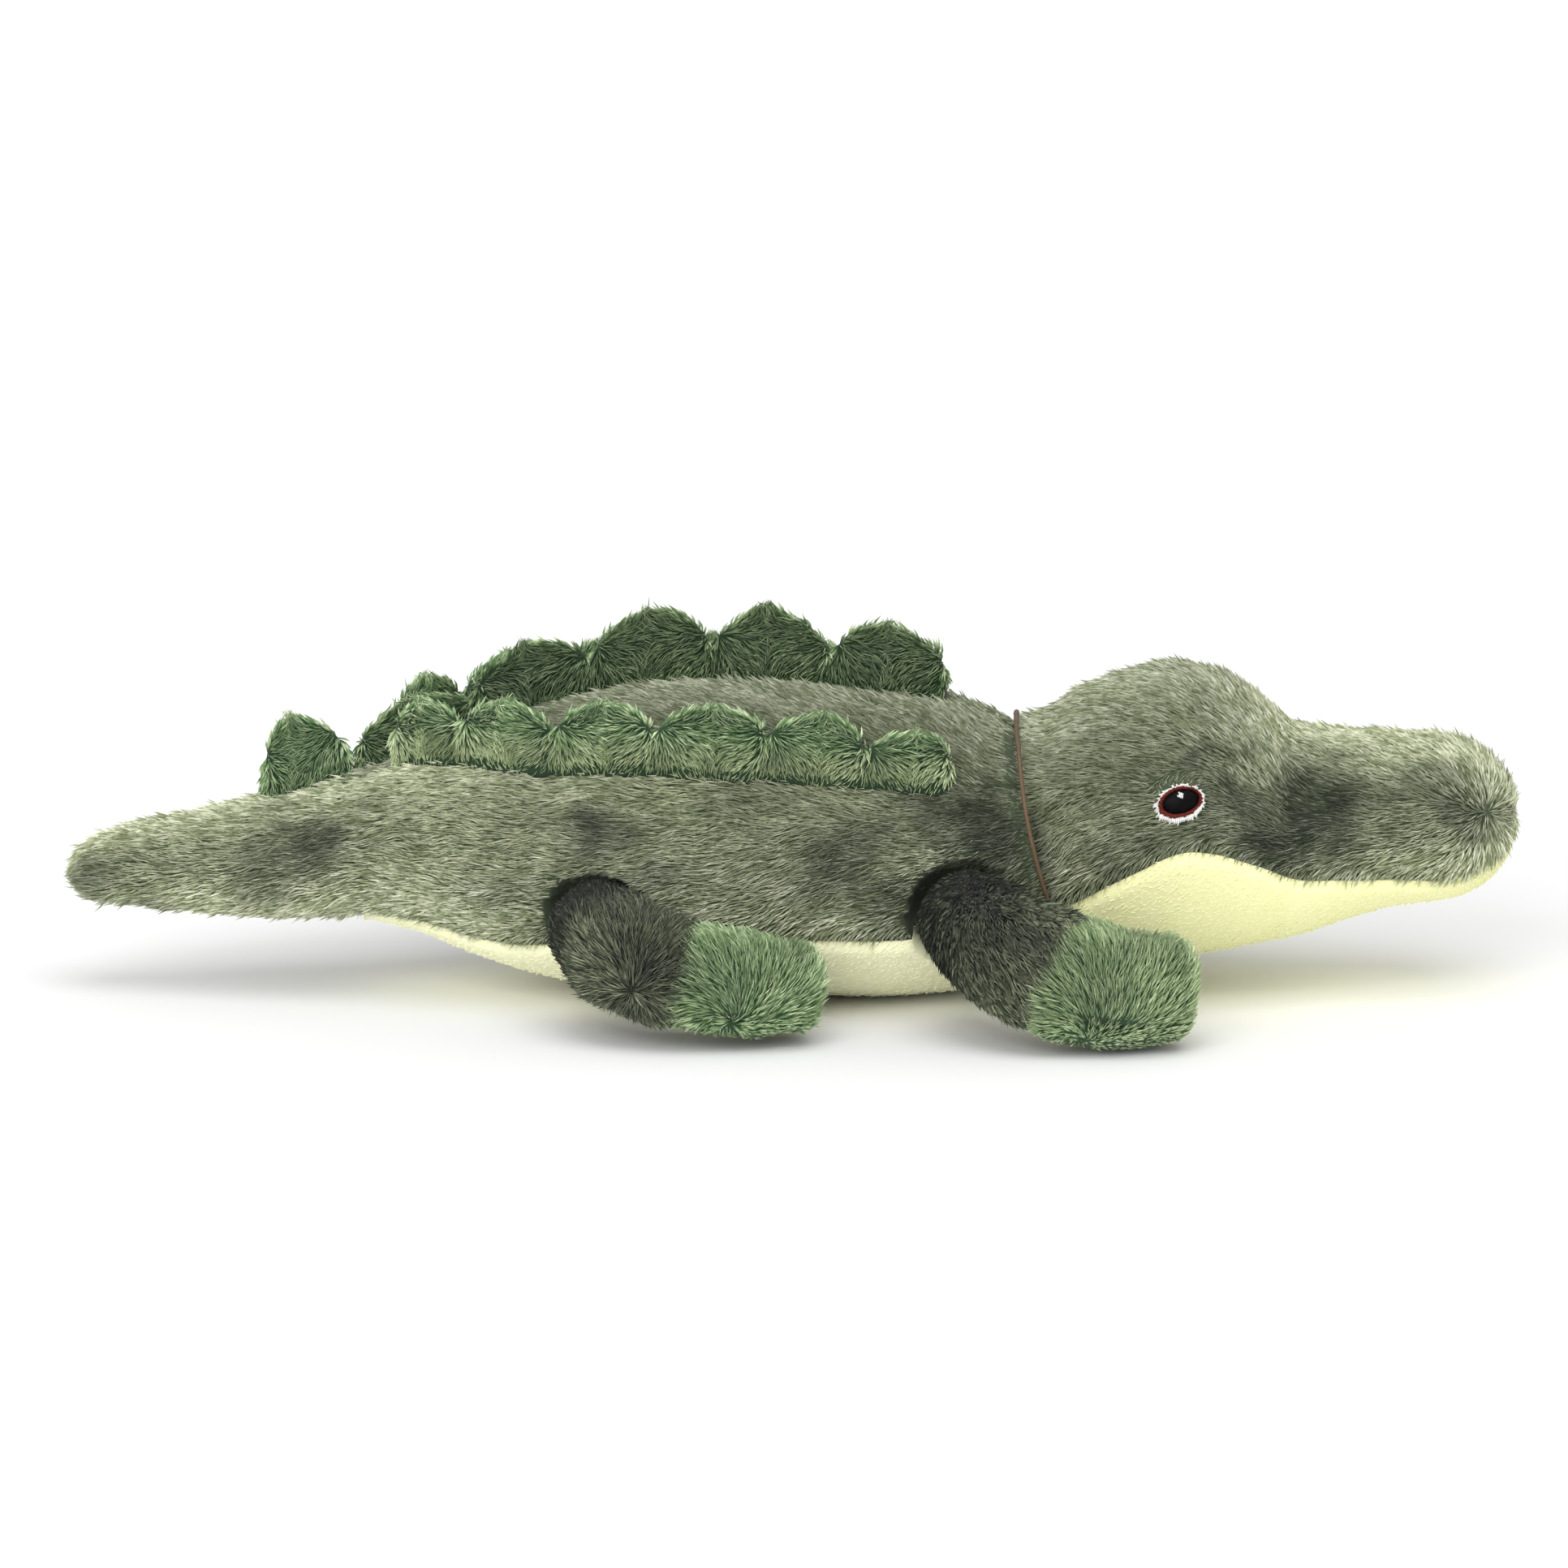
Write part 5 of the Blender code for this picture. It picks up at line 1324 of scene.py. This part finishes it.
class Leg:
    """A left leg as a tube of rings along a path, with half a ball at its root and a rounded toe. The
    rings' tops lean forward at the ankle by a share of their height, and the foot's filling sags."""

    def __init__(self, root, path, radii, toe_height, sag, tilt, seam, sleeve_whorl, foot_whorl):
        x = tail_root_x + root[0] * TORSO_LENGTH
        level = abs(root[1] - middle_at(x)) / half_height_at(x)
        y = half_width_at(x) * (1 - level**ROUNDNESS) ** (1 / ROUNDNESS) + ROOT_STAND_OFF
        elbow, ankle, toe = path
        toe_middle = TOE_RISE + toe_height / 2 - FLOOR_PRESS
        points = np.array([(0, 0, root[1]), elbow, ankle, (*toe, toe_middle)]) + (x, y, 0)
        places = np.concatenate([[0], np.cumsum(np.linalg.norm(np.diff(points, axis=0), axis=1))])
        self.ankle = places[2]
        self.end = places[3]
        self.seam = self.ankle * seam
        self.curves = [smooth_curve(places, values) for values in points.T]
        knots = [*places[:3], (self.ankle + self.end) / 2, self.end]
        self.half_width = smooth_curve(knots, [*radii, FOOT_WIDTH / 2, TOE_WIDTH / 2])
        self.half_height = smooth_curve(knots, [*radii, FOOT_HEIGHT / 2, toe_height / 2])
        self.tilt = smooth_curve(knots, [0, tilt / 2, tilt, tilt / 2, 0])
        self.sag = smooth_curve(knots, [0, 0, sag * 0.8, sag, sag * 0.2])
        self.radius = radii[0]
        foot_place = self.seam + foot_whorl[0] * (self.end - self.seam)
        whorls = ((sleeve_whorl[0] * self.seam, sleeve_whorl[1]), (foot_place, foot_whorl[1]))
        self.sleeve_whorl, self.foot_whorl = (
            self.surface(np.array(place), 1, np.zeros(()), np.array(angle), 0) for place, angle in whorls
        )

    def point(self, place):
        return np.stack([curve(place) for curve in self.curves], axis=-1)

    def surface(self, place, swell, shift, angle, depth):
        """A point of the tube: how far along the path, how much the ring shrinks and moves on at a
        rounded end, the angle round the ring, and how deep inside the outer surface."""
        low = np.clip(place - PROBE, 0, self.end - 2 * PROBE)
        ahead = unit((self.point(low + 2 * PROBE) - self.point(low)) * (1, 1, 0))
        side = np.cross([0, 0, 1], ahead)
        exponent = 2 / (2 + (FOOT_ROUNDNESS - 2) * np.minimum(place / self.ankle, 1))
        turn = np.radians(angle)
        wide = (self.half_width(place) - depth) * swell * power(np.cos(turn), exponent)
        high = (self.half_height(place) - depth) * swell * power(np.sin(turn), exponent)
        high = high - self.sag(place) * swell * np.maximum(-np.sin(turn), 0)
        leaning = high[..., None] * (np.array([0, 0, 1]) + self.tilt(place)[..., None] * ahead)
        return self.point(place) + shift[..., None] * ahead + wide[..., None] * side + leaning

    def cloth(self, rows, angles, depth, whorl, twist, edges):
        """A panel's cloth and the grid behind it. It dips into a groove at the edges asked for, and its
        hairs grow away from the whorl, turned by the twist."""
        place, swell, shift = (values[:, None] + 0 * angles for values in rows)
        outer = self.surface(place, swell, shift, angles + 0 * place, 0)
        from_seam = edge_distance(outer)
        down = np.cumsum(np.linalg.norm(np.diff(outer, axis=0, prepend=outer[:1]), axis=-1), axis=0)
        near = np.full(outer.shape[:2], 1.0)
        if "first" in edges:
            near = np.minimum(near, down)
        if "last" in edges:
            near = np.minimum(near, down[-1:] - down)
        if "sides" in edges:
            near = np.minimum(near, from_seam)
        deep = depth + GROOVE_DEPTH * np.exp(-((near / GROOVE_WIDTH) ** 2))
        deep = deep + LUMP_HEIGHT * soft_noise(outer, LEG_LUMP_SIZE, 61)
        points = self.surface(place, swell, shift * (1 - deep / TOE_CAP), angles + 0 * place, deep)
        points[..., 2] = np.maximum(points[..., 2], deep * LEG_LYING_SHARE)
        normals = surface_normals(outer)
        normals = normals * np.sign(dot(normals, outer - self.point(place)).sum())
        away = points - whorl
        away = unit(away - normals * dot(away, normals))
        nap = away * math.cos(twist) - np.cross(normals, away) * math.sin(twist)
        behind = points - normals * CLOTH_THICKNESS
        behind[..., 2] = np.maximum(behind[..., 2], LEG_FLOOR)
        short = mix(LOW_HAIR_SHARE, 1, fade(points[..., 2], *LOW_HAIR_HEIGHTS))
        whorl_distance = np.linalg.norm(points - whorl, axis=-1)
        crowd = 1 + WHORL_CROWD * np.exp(-((whorl_distance / WHORL_RADIUS) ** 2))
        return Cloth(points, normals, nap, crowd=crowd, long=short), behind


def tube_rows(start, end):
    places = np.linspace(start, end, int((end - start) / LEG_STEP) + 2)
    return places, np.ones_like(places), np.zeros_like(places)


def end_rows(place, reach, turns, roundness=2.0):
    """Rings that close in on a rounded end, by powers of the sine and cosine of a turn."""
    turns = np.radians(turns)
    shrunk = power(np.cos(turns), 2 / roundness)
    return np.full_like(turns, place), shrunk, reach * power(np.sin(turns), 2 / roundness)


def joined(*parts):
    return [np.concatenate(values) for values in zip(*parts)]


def mirrored_cloth(cloth, behind):
    cloth.points, cloth.normals, cloth.nap = (
        field * (1, -1, 1) for field in (cloth.points, cloth.normals, cloth.nap)
    )
    return behind * (1, -1, 1)


# %% [markdown]
# ## The four legs on the toy
# One loop makes all four: the left leg is worked out, and the right one is its mirror image, with
# hairs of its own. The sleeve is darkest at its root. Its fur is thin and short where it enters the
# body, so that it doesn't catch in the socket, as fur there is worn on a real toy. Each leg rides on
# its own body. The soles have fewer hairs, as they are pressed flat and don't show.

# %% The four legs
TWIST = math.radians(24)
FOOT_PAINTED_LIGHT = {"hind_leg": 0.10, "front_leg": 0.32}
DARK_REACH = {"hind_leg": (0.023, 0.038), "front_leg": (0.022, 0.062)}
SOLE_THINNING = 0.75
SOLE_SINES = (0.70, 0.95)
DARK_RAGGED = 0.003
DARK_RAGGED_SIZE = 0.006
ROOT_BARE = (0.006, 0.010)
ROOT_SHORT = (0.016, 0.026)
sleeve_angles = np.linspace(-90, 270, 64)
top_angles = np.linspace(-30, 210, 46)
sole_angles = np.linspace(210, 330, 26)
leg_parts = (("sleeve", sleeve_angles), ("foot_top", top_angles), ("foot_sole", sole_angles))
for leg_number, (leg_name, sizes) in enumerate(legs.items()):
    leg = Leg(**sizes)
    sleeve_rows = joined(end_rows(0, leg.radius, np.linspace(-80, -6, 12)), tube_rows(0, leg.seam))
    toe_rows = end_rows(leg.end, TOE_CAP, np.linspace(4, 88, 16), FOOT_ROUNDNESS)
    foot_rows = joined(tube_rows(leg.seam, leg.end), toe_rows)
    for side, mirror in (("left", False), ("right", True)):
        for number, (part, angles) in enumerate(leg_parts):
            if part == "sleeve":
                pile, material, slot = SLEEVE_PILE, dark_fur, "dark_fur"
                cloth, behind = leg.cloth(sleeve_rows, angles, SLEEVE_DEPTH, leg.sleeve_whorl, 0, "last")
                steps = np.diff(cloth.points, axis=0, prepend=cloth.points[:1])
                outward = np.cumsum(np.linalg.norm(steps, axis=-1), axis=0)
                ragged = outward + DARK_RAGGED * soft_noise(cloth.points, DARK_RAGGED_SIZE, 66)
                cloth.blotch = 1 - fade(ragged, *DARK_REACH[leg_name])
                cloth.crowd = cloth.crowd * fade(outward, *ROOT_BARE)
                cloth.long = cloth.long * mix(0.5, 1, fade(outward, *ROOT_SHORT))
            else:
                pile, material, slot = FOOT_PILE, green_shag, "green_fur"
                edges = "first sides"
                cloth, behind = leg.cloth(foot_rows, angles, FOOT_DEPTH, leg.foot_whorl, TWIST, edges)
                # Painted light: each foot is lightened towards the shag's pale blotched colour, the front
                # ones more
                cloth.blotch = cloth.blotch + FOOT_PAINTED_LIGHT[leg_name]
                underneath = fade(-np.sin(np.radians(angles)), *SOLE_SINES)
                cloth.crowd = cloth.crowd * (1 - SOLE_THINNING * underneath)
            if mirror:
                behind = mirrored_cloth(cloth, behind)
            seed = 60 + 10 * leg_number + 3 * mirror + number
            name = f"{leg_name}_{side}_{part}"
            piece = furry(f"{name}_pile", cloth, behind, pile, seed, material, lowest=LEG_HAIR_FLOOR)
            dress(piece, f"{leg_name}_{side}", None, slot, [f"{name}_skin"], FUR_FILL)

# %% [markdown]
# ## What is inside
# Loose polyester fibre fills the toy, and a flat pouch of pellets in the belly keeps it lying flat. A
# filling is the space inside the skins, as one closed surface.

# %% Fillings
FILLING_STEP = 0.0034
FILLING_DEPTH = 0.0062
FILLING_CLEARANCE = 0.0022
LEG_FILLING_DEPTH = 0.0045


def plain_material(name, colour, roughness, grain, hollow_shade_share=0.85):
    """One colour with a slight grain of a real size in metres, and painted shade in the grain's hollows."""
    material, shader = new_material(name, roughness)
    darker = [channel * hollow_shade_share for channel in linear(colour)[:3]] + [1]
    shade = blend_colours(material, noise_at(material, grain), darker, linear(colour))
    material.node_tree.links.new(shade, shader.inputs["Base Color"])
    add_relief(material, shader, grain, grain / 4)
    return material


# Loose white staple fibre, quite dull, in lumps of 3 mm
polyester = plain_material("polyester_fibre_filling", "#efefe8", 0.95, 0.003)
# Plain-woven cotton, matt, with a weave drawn at 1 mm because its real 0.3 mm is too fine to show
pouch_cloth = plain_material("grey_pouch_cotton", "#b9b9b2", 0.8, 0.001)


def closed_form(name, rings, material):
    """A closed surface through rings of points, with a fan to the middle of each end ring."""
    rows, columns = rings.shape[:2]
    index = np.arange(rows * columns).reshape(rows, columns)
    ends = [
        np.stack([index[row], np.roll(index[row], way), np.full(columns, rows * columns + end)], axis=-1)
        for end, (row, way) in enumerate(((0, 1), (-1, -1)))
    ]
    middles = rings[[0, -1]].mean(axis=1)
    points = np.concatenate([rings.reshape(-1, 3), middles])
    quads = grid_quads(index, True)
    triangles = np.concatenate(ends)
    outward = dot(surface_normals(rings), rings - rings.mean(axis=1, keepdims=True)).sum() > 0
    if not outward:
        quads = quads[:, ::-1]
        triangles = triangles[:, ::-1]
    around = np.tile(np.arange(columns) / columns, rows)
    down = np.repeat(np.linspace(0, 1, rows), columns)
    uv = np.concatenate([np.stack([around, down], axis=-1), [[0.5, 0], [0.5, 1]]])
    count = len(quads) + len(triangles)
    piece = write_mesh(name, points, quads, triangles, count, {}, uv, material)
    print(name, "faces:", count)
    return piece


def bag_filling(name, rear, front, caps):
    """The bag's surface again, moved inwards by more than the skins and out of the sockets."""
    x, angle = panel_places(straight(0), straight(359.9), rear, front, caps, FILLING_STEP)
    surface = bag(x, angle)
    normals, _ = bag_directions(x, angle)
    deep = FILLING_DEPTH + CREASE_DEPTH * neck_crease(surface)
    deep = deep + 2 * LUMP_HEIGHT * soft_noise(surface, LUMP_SIZE, 8)
    points = push_in(surface - normals * deep[..., None], normals, FILLING_CLEARANCE)
    points[..., 2] = np.maximum(points[..., 2], FILLING_DEPTH)
    return closed_form(name, points[:, :-1], polyester)


fillings = (
    ("torso", tail_crossing, neck_crossing, torso_caps, *WITH_TAIL),
    ("head", neck_crossing, nose_cap_x, head_caps, *WITH_HEAD),
    ("tail", tail_crossing, tail_cap_x, tail_caps, *WITH_TAIL),
)
for name, rear, front, caps, bodies, bend in fillings:
    piece = bag_filling(f"{name}_filling", rear, front, caps)
    dress(piece, bodies, bend, "wadding", [f"{name}_wadding"])
for leg_name, sizes in legs.items():
    leg = Leg(**sizes)
    rows = joined(
        end_rows(0, leg.radius, np.linspace(-80, -6, 6)),
        tube_rows(0, leg.end),
        end_rows(leg.end, TOE_CAP, np.linspace(6, 84, 6), FOOT_ROUNDNESS),
    )
    place, swell, shift = (values[:, None] + np.zeros(32) for values in rows)
    angles = np.arange(32) * 360 / 32 + 0 * place
    points = leg.surface(place, swell, shift * (1 - LEG_FILLING_DEPTH / TOE_CAP), angles, LEG_FILLING_DEPTH)
    points[..., 2] = np.maximum(points[..., 2], LEG_FILLING_DEPTH)
    for side, sign in (("left", 1), ("right", -1)):
        piece = closed_form(f"{leg_name}_{side}_filling", points * (1, sign, 1), polyester)
        dress(piece, f"{leg_name}_{side}", None, "wadding", [f"{leg_name}_{side}_wadding"])

# %% [markdown]
# ## The pellet pouch
# A flat cushion of cotton filled with plastic pellets, low in the belly. Its section across is an
# ellipse, and its length and width close with the cosine of a turn to the power 2 / 2.2. The pellets
# make small bumps of 3 mm in the cloth. It rides on the torso and never shows.

# %% Pellet pouch
POUCH_PLACE_SHARE = 0.62
POUCH_SIZE = np.array([0.056, 0.040, 0.012])
POUCH_FLOOR = 0.0033
PELLET_SIZE = 0.003
PELLET_BUMP = 0.0003
turns = np.radians(np.linspace(-84, 84, 40))[:, None]
angles = np.linspace(0, 2 * np.pi, 48, endpoint=False)
swell = np.cos(turns) ** (2 / ROUNDNESS)
pouch = np.stack(
    np.broadcast_arrays(
        tail_root_x + POUCH_PLACE_SHARE * TORSO_LENGTH + POUCH_SIZE[0] / 2 * np.sin(turns),
        POUCH_SIZE[1] / 2 * swell * np.cos(angles),
        POUCH_FLOOR + POUCH_SIZE[2] / 2 - FLOOR_PRESS + POUCH_SIZE[2] / 2 * swell * np.sin(angles),
    ),
    axis=-1,
)
pouch[..., 2] += PELLET_BUMP * soft_noise(pouch, PELLET_SIZE, 81) * np.sin(angles)
pouch[..., 2] = np.maximum(pouch[..., 2], POUCH_FLOOR)
piece = closed_form("pellet_pouch_cloth", pouch, pouch_cloth)
dress(piece, "torso", None, "pouch_cloth", ["pellet_pouch"])

# %% [markdown]
# ## Embroidered eyes
# Each eye is satin stitch: a white border and a brown ring with their threads across the band, a black
# pupil and a white highlight with theirs side by side. A thread is a ridge as wide as the thread, worked
# out along the band. The border thins out at the top, under the fur of the brow.

# %% Eyes
THREAD_WIDTH = 0.00050
THREAD_RIDGE = 0.00009
THREAD_RAGGED = 0.0010
EYE_LOW = -0.0010
EYE_COLUMN_LENGTH = 0.000105
EYE_ROW_LENGTH = 0.0003
BAND_ROWS = 9
FILLED_ROWS = 6
FILLED_SHARE = 0.985
TONE_RANGE = (0.55, 1.0)
THREAD_LIGHT = 1.3
GROOVE_PAINTED_SHADE = 0.35


def thread_material(name, colour, roughness):
    """Rayon embroidery thread in satin stitch, with a silky gloss, and painted shade in the grooves between
    threads. A real thread is 0.4 mm wide, and here it is 0.5 mm."""
    material, shader = new_material(name, roughness)
    dark = [channel * GROOVE_PAINTED_SHADE for channel in linear(colour)[:3]] + [1]
    colour_now = blend_colours(material, attribute(material, "tip"), dark, linear(colour))
    material.node_tree.links.new(colour_now, shader.inputs["Base Color"])
    add_relief(material, shader, THREAD_WIDTH / 2, THREAD_RIDGE / 2)
    shader.inputs["Specular IOR Level"].default_value = 0.1
    return material


white_thread = thread_material("white_rayon_thread", "#f8f6f2", 0.4)
brown_thread = thread_material("red_brown_rayon_thread", "#6f2a20", 0.5)
black_thread = thread_material("black_rayon_thread", "#050405", 0.5)


def eye_band(name, sign, outer, inner, outer_middle, inner_middle, top, material, filled=False):
    """A patch of satin stitch between two ellipses on the cheek. Its height rises from its edges as the
    square root of half a sine wave, or over the whole patch when it is filled."""
    rows = FILLED_ROWS + int(outer[0] / EYE_ROW_LENGTH) if filled else BAND_ROWS
    share = np.linspace(0, FILLED_SHARE if filled else 1, rows)[:, None]
    turn = np.linspace(0, 2 * np.pi, int(2 * np.pi * outer[0] / EYE_COLUMN_LENGTH))
    edge = np.stack([outer[0] * np.cos(turn), outer[1] * np.sin(turn)], axis=-1)
    round_edge = np.concatenate([[0], np.cumsum(np.linalg.norm(np.diff(edge, axis=0), axis=-1))])
    thread_count = round(round_edge[-1] / THREAD_WIDTH)
    thread_place = thread_count * round_edge / round_edge[-1]
    random = np.random.default_rng(90)
    thread_number = np.round(thread_place).astype(int) % thread_count
    ragged = random.uniform(-0.5, 0.5, thread_count)[thread_number] * THREAD_RAGGED / outer[0]
    tone = random.uniform(*TONE_RANGE, thread_count)[thread_number]
    major = mix(outer[0], inner[0], share) * np.cos(turn) * (1 + ragged * (1 - share))
    minor = mix(outer[1], inner[1], share) * np.sin(turn) * (1 + ragged * (1 - share))
    shift = mix(np.array(outer_middle), np.array(inner_middle), share[..., None])
    forward = shift[..., 0] + major * math.cos(EYE_TILT) - minor * math.sin(EYE_TILT)
    upward = shift[..., 1] + major * math.sin(EYE_TILT) + minor * math.cos(EYE_TILT)
    above, below = (bag(np.float64(EYE_X), EYE_ANGLE + half) for half in (0.5, -0.5))
    degree = np.linalg.norm(above - below)
    x = EYE_X + forward
    angle = EYE_ANGLE + upward / degree
    normals, nap = bag_directions(x, angle)
    threads = np.abs(np.cos(np.pi * thread_place)) + 0 * share
    across = np.abs(np.sin(np.pi * major / THREAD_WIDTH)) if filled else threads
    puff = np.sqrt(np.sin(np.pi * np.clip(share / 2 if filled else share, 0, 1)))
    height = EYE_LOW + (top - EYE_LOW) * puff + THREAD_RIDGE * across * puff
    surface = bag(x, angle)
    points = surface + normals * height[..., None]
    behind = surface + normals * (EYE_LOW - CLOTH_THICKNESS)
    points, normals, nap, behind = (field * (1, sign, 1) for field in (points, normals, nap, behind))
    cloth = Cloth(points, normals, nap)
    quads = sheet_quads(cloth)
    grid = np.stack(np.broadcast_arrays(turn / (2 * np.pi), share), axis=-1).reshape(-1, 2)
    # Painted shade darkens the grooves between threads, times each thread's own tone
    lit = np.tile(np.clip(across * THREAD_LIGHT * tone, 0, 1).ravel(), 2)
    all_points = np.concatenate([points.reshape(-1, 3), behind.reshape(-1, 3)])
    uv = np.concatenate([grid, grid])
    piece = write_mesh(name, all_points, quads, NO_TRIANGLES, len(quads), {"tip": lit}, uv, material)
    print(name, "threads:", thread_count)
    return piece


eye_edge = np.array([EYE_LENGTH, EYE_HEIGHT]) / 2
ring_edge = eye_edge - 0.0008
pupil_edge = eye_edge - 0.0013
dot_edge = np.array([0.0010, 0.0012])
point = np.zeros(2)
eye_place, ring_place, pupil_place, dot_place = (0, 0), (0, 0.0004), (0.0002, 0.0005), (0.0001, 0.0017)
# Each band's outer and inner half sizes, their middles, how high it stands, its thread and its slot
bands = {
    "border": (eye_edge, ring_edge - 0.0005, eye_place, ring_place, 0.0001, white_thread, "white_thread"),
    "ring": (ring_edge, pupil_edge - 0.0006, ring_place, pupil_place, 0.0002, brown_thread, "brown_thread"),
    "pupil": (pupil_edge, point, pupil_place, pupil_place, 0.0003, black_thread, "black_thread"),
    "highlight": (dot_edge, point, dot_place, dot_place, 0.0005, white_thread, "white_thread"),
}
for side, sign in (("left", 1), ("right", -1)):
    for band, (outer, inner, outer_middle, inner_middle, top, material, slot) in bands.items():
        name = f"eye_{band}_{side}"
        filled = inner is point
        piece = eye_band(
            f"{name}_thread", sign, outer, inner, outer_middle, inner_middle, top, material, filled
        )
        dress(piece, *WITH_HEAD, slot, [name])

# %% [markdown]
# ## Cord
# A thin waxed cord lies in the crease behind the head, all the way round. It is two strands twisted
# together, so its section is a circle with two lobes that turn along it. It sinks into the crease at
# the top and into the short velour below.

# %% Neck cord
CORD_RADIUS = 0.00052
CORD_SETBACK = 0.0010
CORD_STAND_OFF = -0.0002
CORD_SINK = 0.0020
CORD_TOP_SINK = 0.0024
CORD_LOW_SINES = (0.20, 0.40)
CORD_TOP_SINES = (0.80, 0.97)
CORD_LOBE = 0.16
CORD_TWIST = 0.0030
CORD_SIDES = 10
CORD_STEPS = 420
# Two waxed strands: smoother than cloth, with a dull gloss, and painted shade that halves the colour in
# the hollows of its grain
waxed_cord = plain_material("waxed_tan_cord", "#74604a", 0.5, 0.0006, 0.5)


def cord_tube(name, middle, normals, material):
    """A closed tube along a ring of points, its radius R (1 + 0.16 cos 2(a - t)) with t the twist."""
    ahead = unit(np.roll(middle, -1, axis=0) - np.roll(middle, 1, axis=0))
    side = unit(np.cross(ahead, normals))
    along = np.concatenate([[0], np.cumsum(np.linalg.norm(np.diff(middle, axis=0), axis=-1))])
    turn = np.linspace(0, 2 * np.pi, CORD_SIDES, endpoint=False)
    twist = 2 * np.pi * round(along[-1] / CORD_TWIST) * along / along[-1]
    radius = CORD_RADIUS * (1 + CORD_LOBE * np.cos(2 * (turn - twist[:, None])))
    offset = np.cos(turn)[:, None] * side[:, None] + np.sin(turn)[:, None] * normals[:, None]
    points = middle[:, None] + radius[..., None] * offset
    index = np.arange(len(middle) * CORD_SIDES).reshape(-1, CORD_SIDES)
    quads = grid_quads(np.concatenate([index, index[:1]]), True)
    out = np.cross(points[0, 1] - points[0, 0], points[1, 0] - points[0, 0]) @ offset[0, 0] > 0
    quads = quads if out else quads[:, ::-1]
    uv = np.stack(np.broadcast_arrays(turn / (2 * np.pi), (along / along[-1])[:, None]), axis=-1)
    uv = uv.reshape(-1, 2)
    points = points.reshape(-1, 3)
    piece = write_mesh(name, points, quads, NO_TRIANGLES, len(quads), {}, uv, material)
    print(name, "length, mm:", round(along[-1] * 1000), "faces:", len(quads))
    return piece


angles = np.linspace(0, 360, CORD_STEPS, endpoint=False)
x = neck_crossing(lambda _: angles) - CORD_SETBACK
normals, _ = bag_directions(x, angles)
level = np.sin(np.radians(angles))[:, None]
sunk = CORD_SINK * fade(-level, *CORD_LOW_SINES) + CORD_TOP_SINK * fade(level, *CORD_TOP_SINES)
middle = bag(x, angles) + normals * (CORD_STAND_OFF - sunk)
middle[..., 2] = np.maximum(middle[..., 2], CORD_RADIUS * 1.3)
piece = cord_tube("neck_cord_twist", middle, normals, waxed_cord)
dress(piece, *WITH_HEAD, "cord", ["neck_cord"])

# %% [markdown]
# ## Floor, backdrop and light
# The photograph is a product shot on white. A pale floor and a white world give that. Two distant soft
# lamps light the toy from above and from the camera's side, alike all over the floor, so that it stays
# white to its edge.

# %% Studio
FLOOR_SIZE = 6.0
floor_mesh = bpy.data.meshes.new("studio_floor")
corner = FLOOR_SIZE / 2
floor_mesh.from_pydata(
    [(-corner, -corner, 0), (corner, -corner, 0), (corner, corner, 0), (-corner, corner, 0)],
    [],
    [(0, 1, 2, 3)],
)
floor = bpy.data.objects.new("studio_floor", floor_mesh)
bpy.context.scene.collection.objects.link(floor)
floor_paint, floor_shader = new_material("white_studio_paint", 0.9)
floor_shader.inputs["Base Color"].default_value = linear("#f4f4f4")
floor_mesh.materials.append(floor_paint)


def add_lamp(name, place, spread, strength):
    lamp = bpy.data.lights.new(name, "SUN")
    lamp.angle = math.radians(spread)
    lamp.energy = strength
    holder = bpy.data.objects.new(name, lamp)
    bpy.context.scene.collection.objects.link(holder)
    holder.location = place
    holder.rotation_mode = "QUATERNION"
    holder.rotation_quaternion = (target - Vector(place)).to_track_quat("-Z", "Y")


add_lamp("overhead_softbox", (0.15, -0.45, 1.1), 50, 1.2)
add_lamp("front_softbox", (-0.5, -1.3, 0.7), 40, 1.5)

world = bpy.data.worlds.new("studio_world")
bpy.context.scene.world = world
world.use_nodes = True
sky = world.node_tree.nodes["Background"]
sky.inputs["Color"].default_value = (1, 1, 1, 1)
sky.inputs["Strength"].default_value = 0.65
bpy.context.scene.view_settings.view_transform = "Standard"
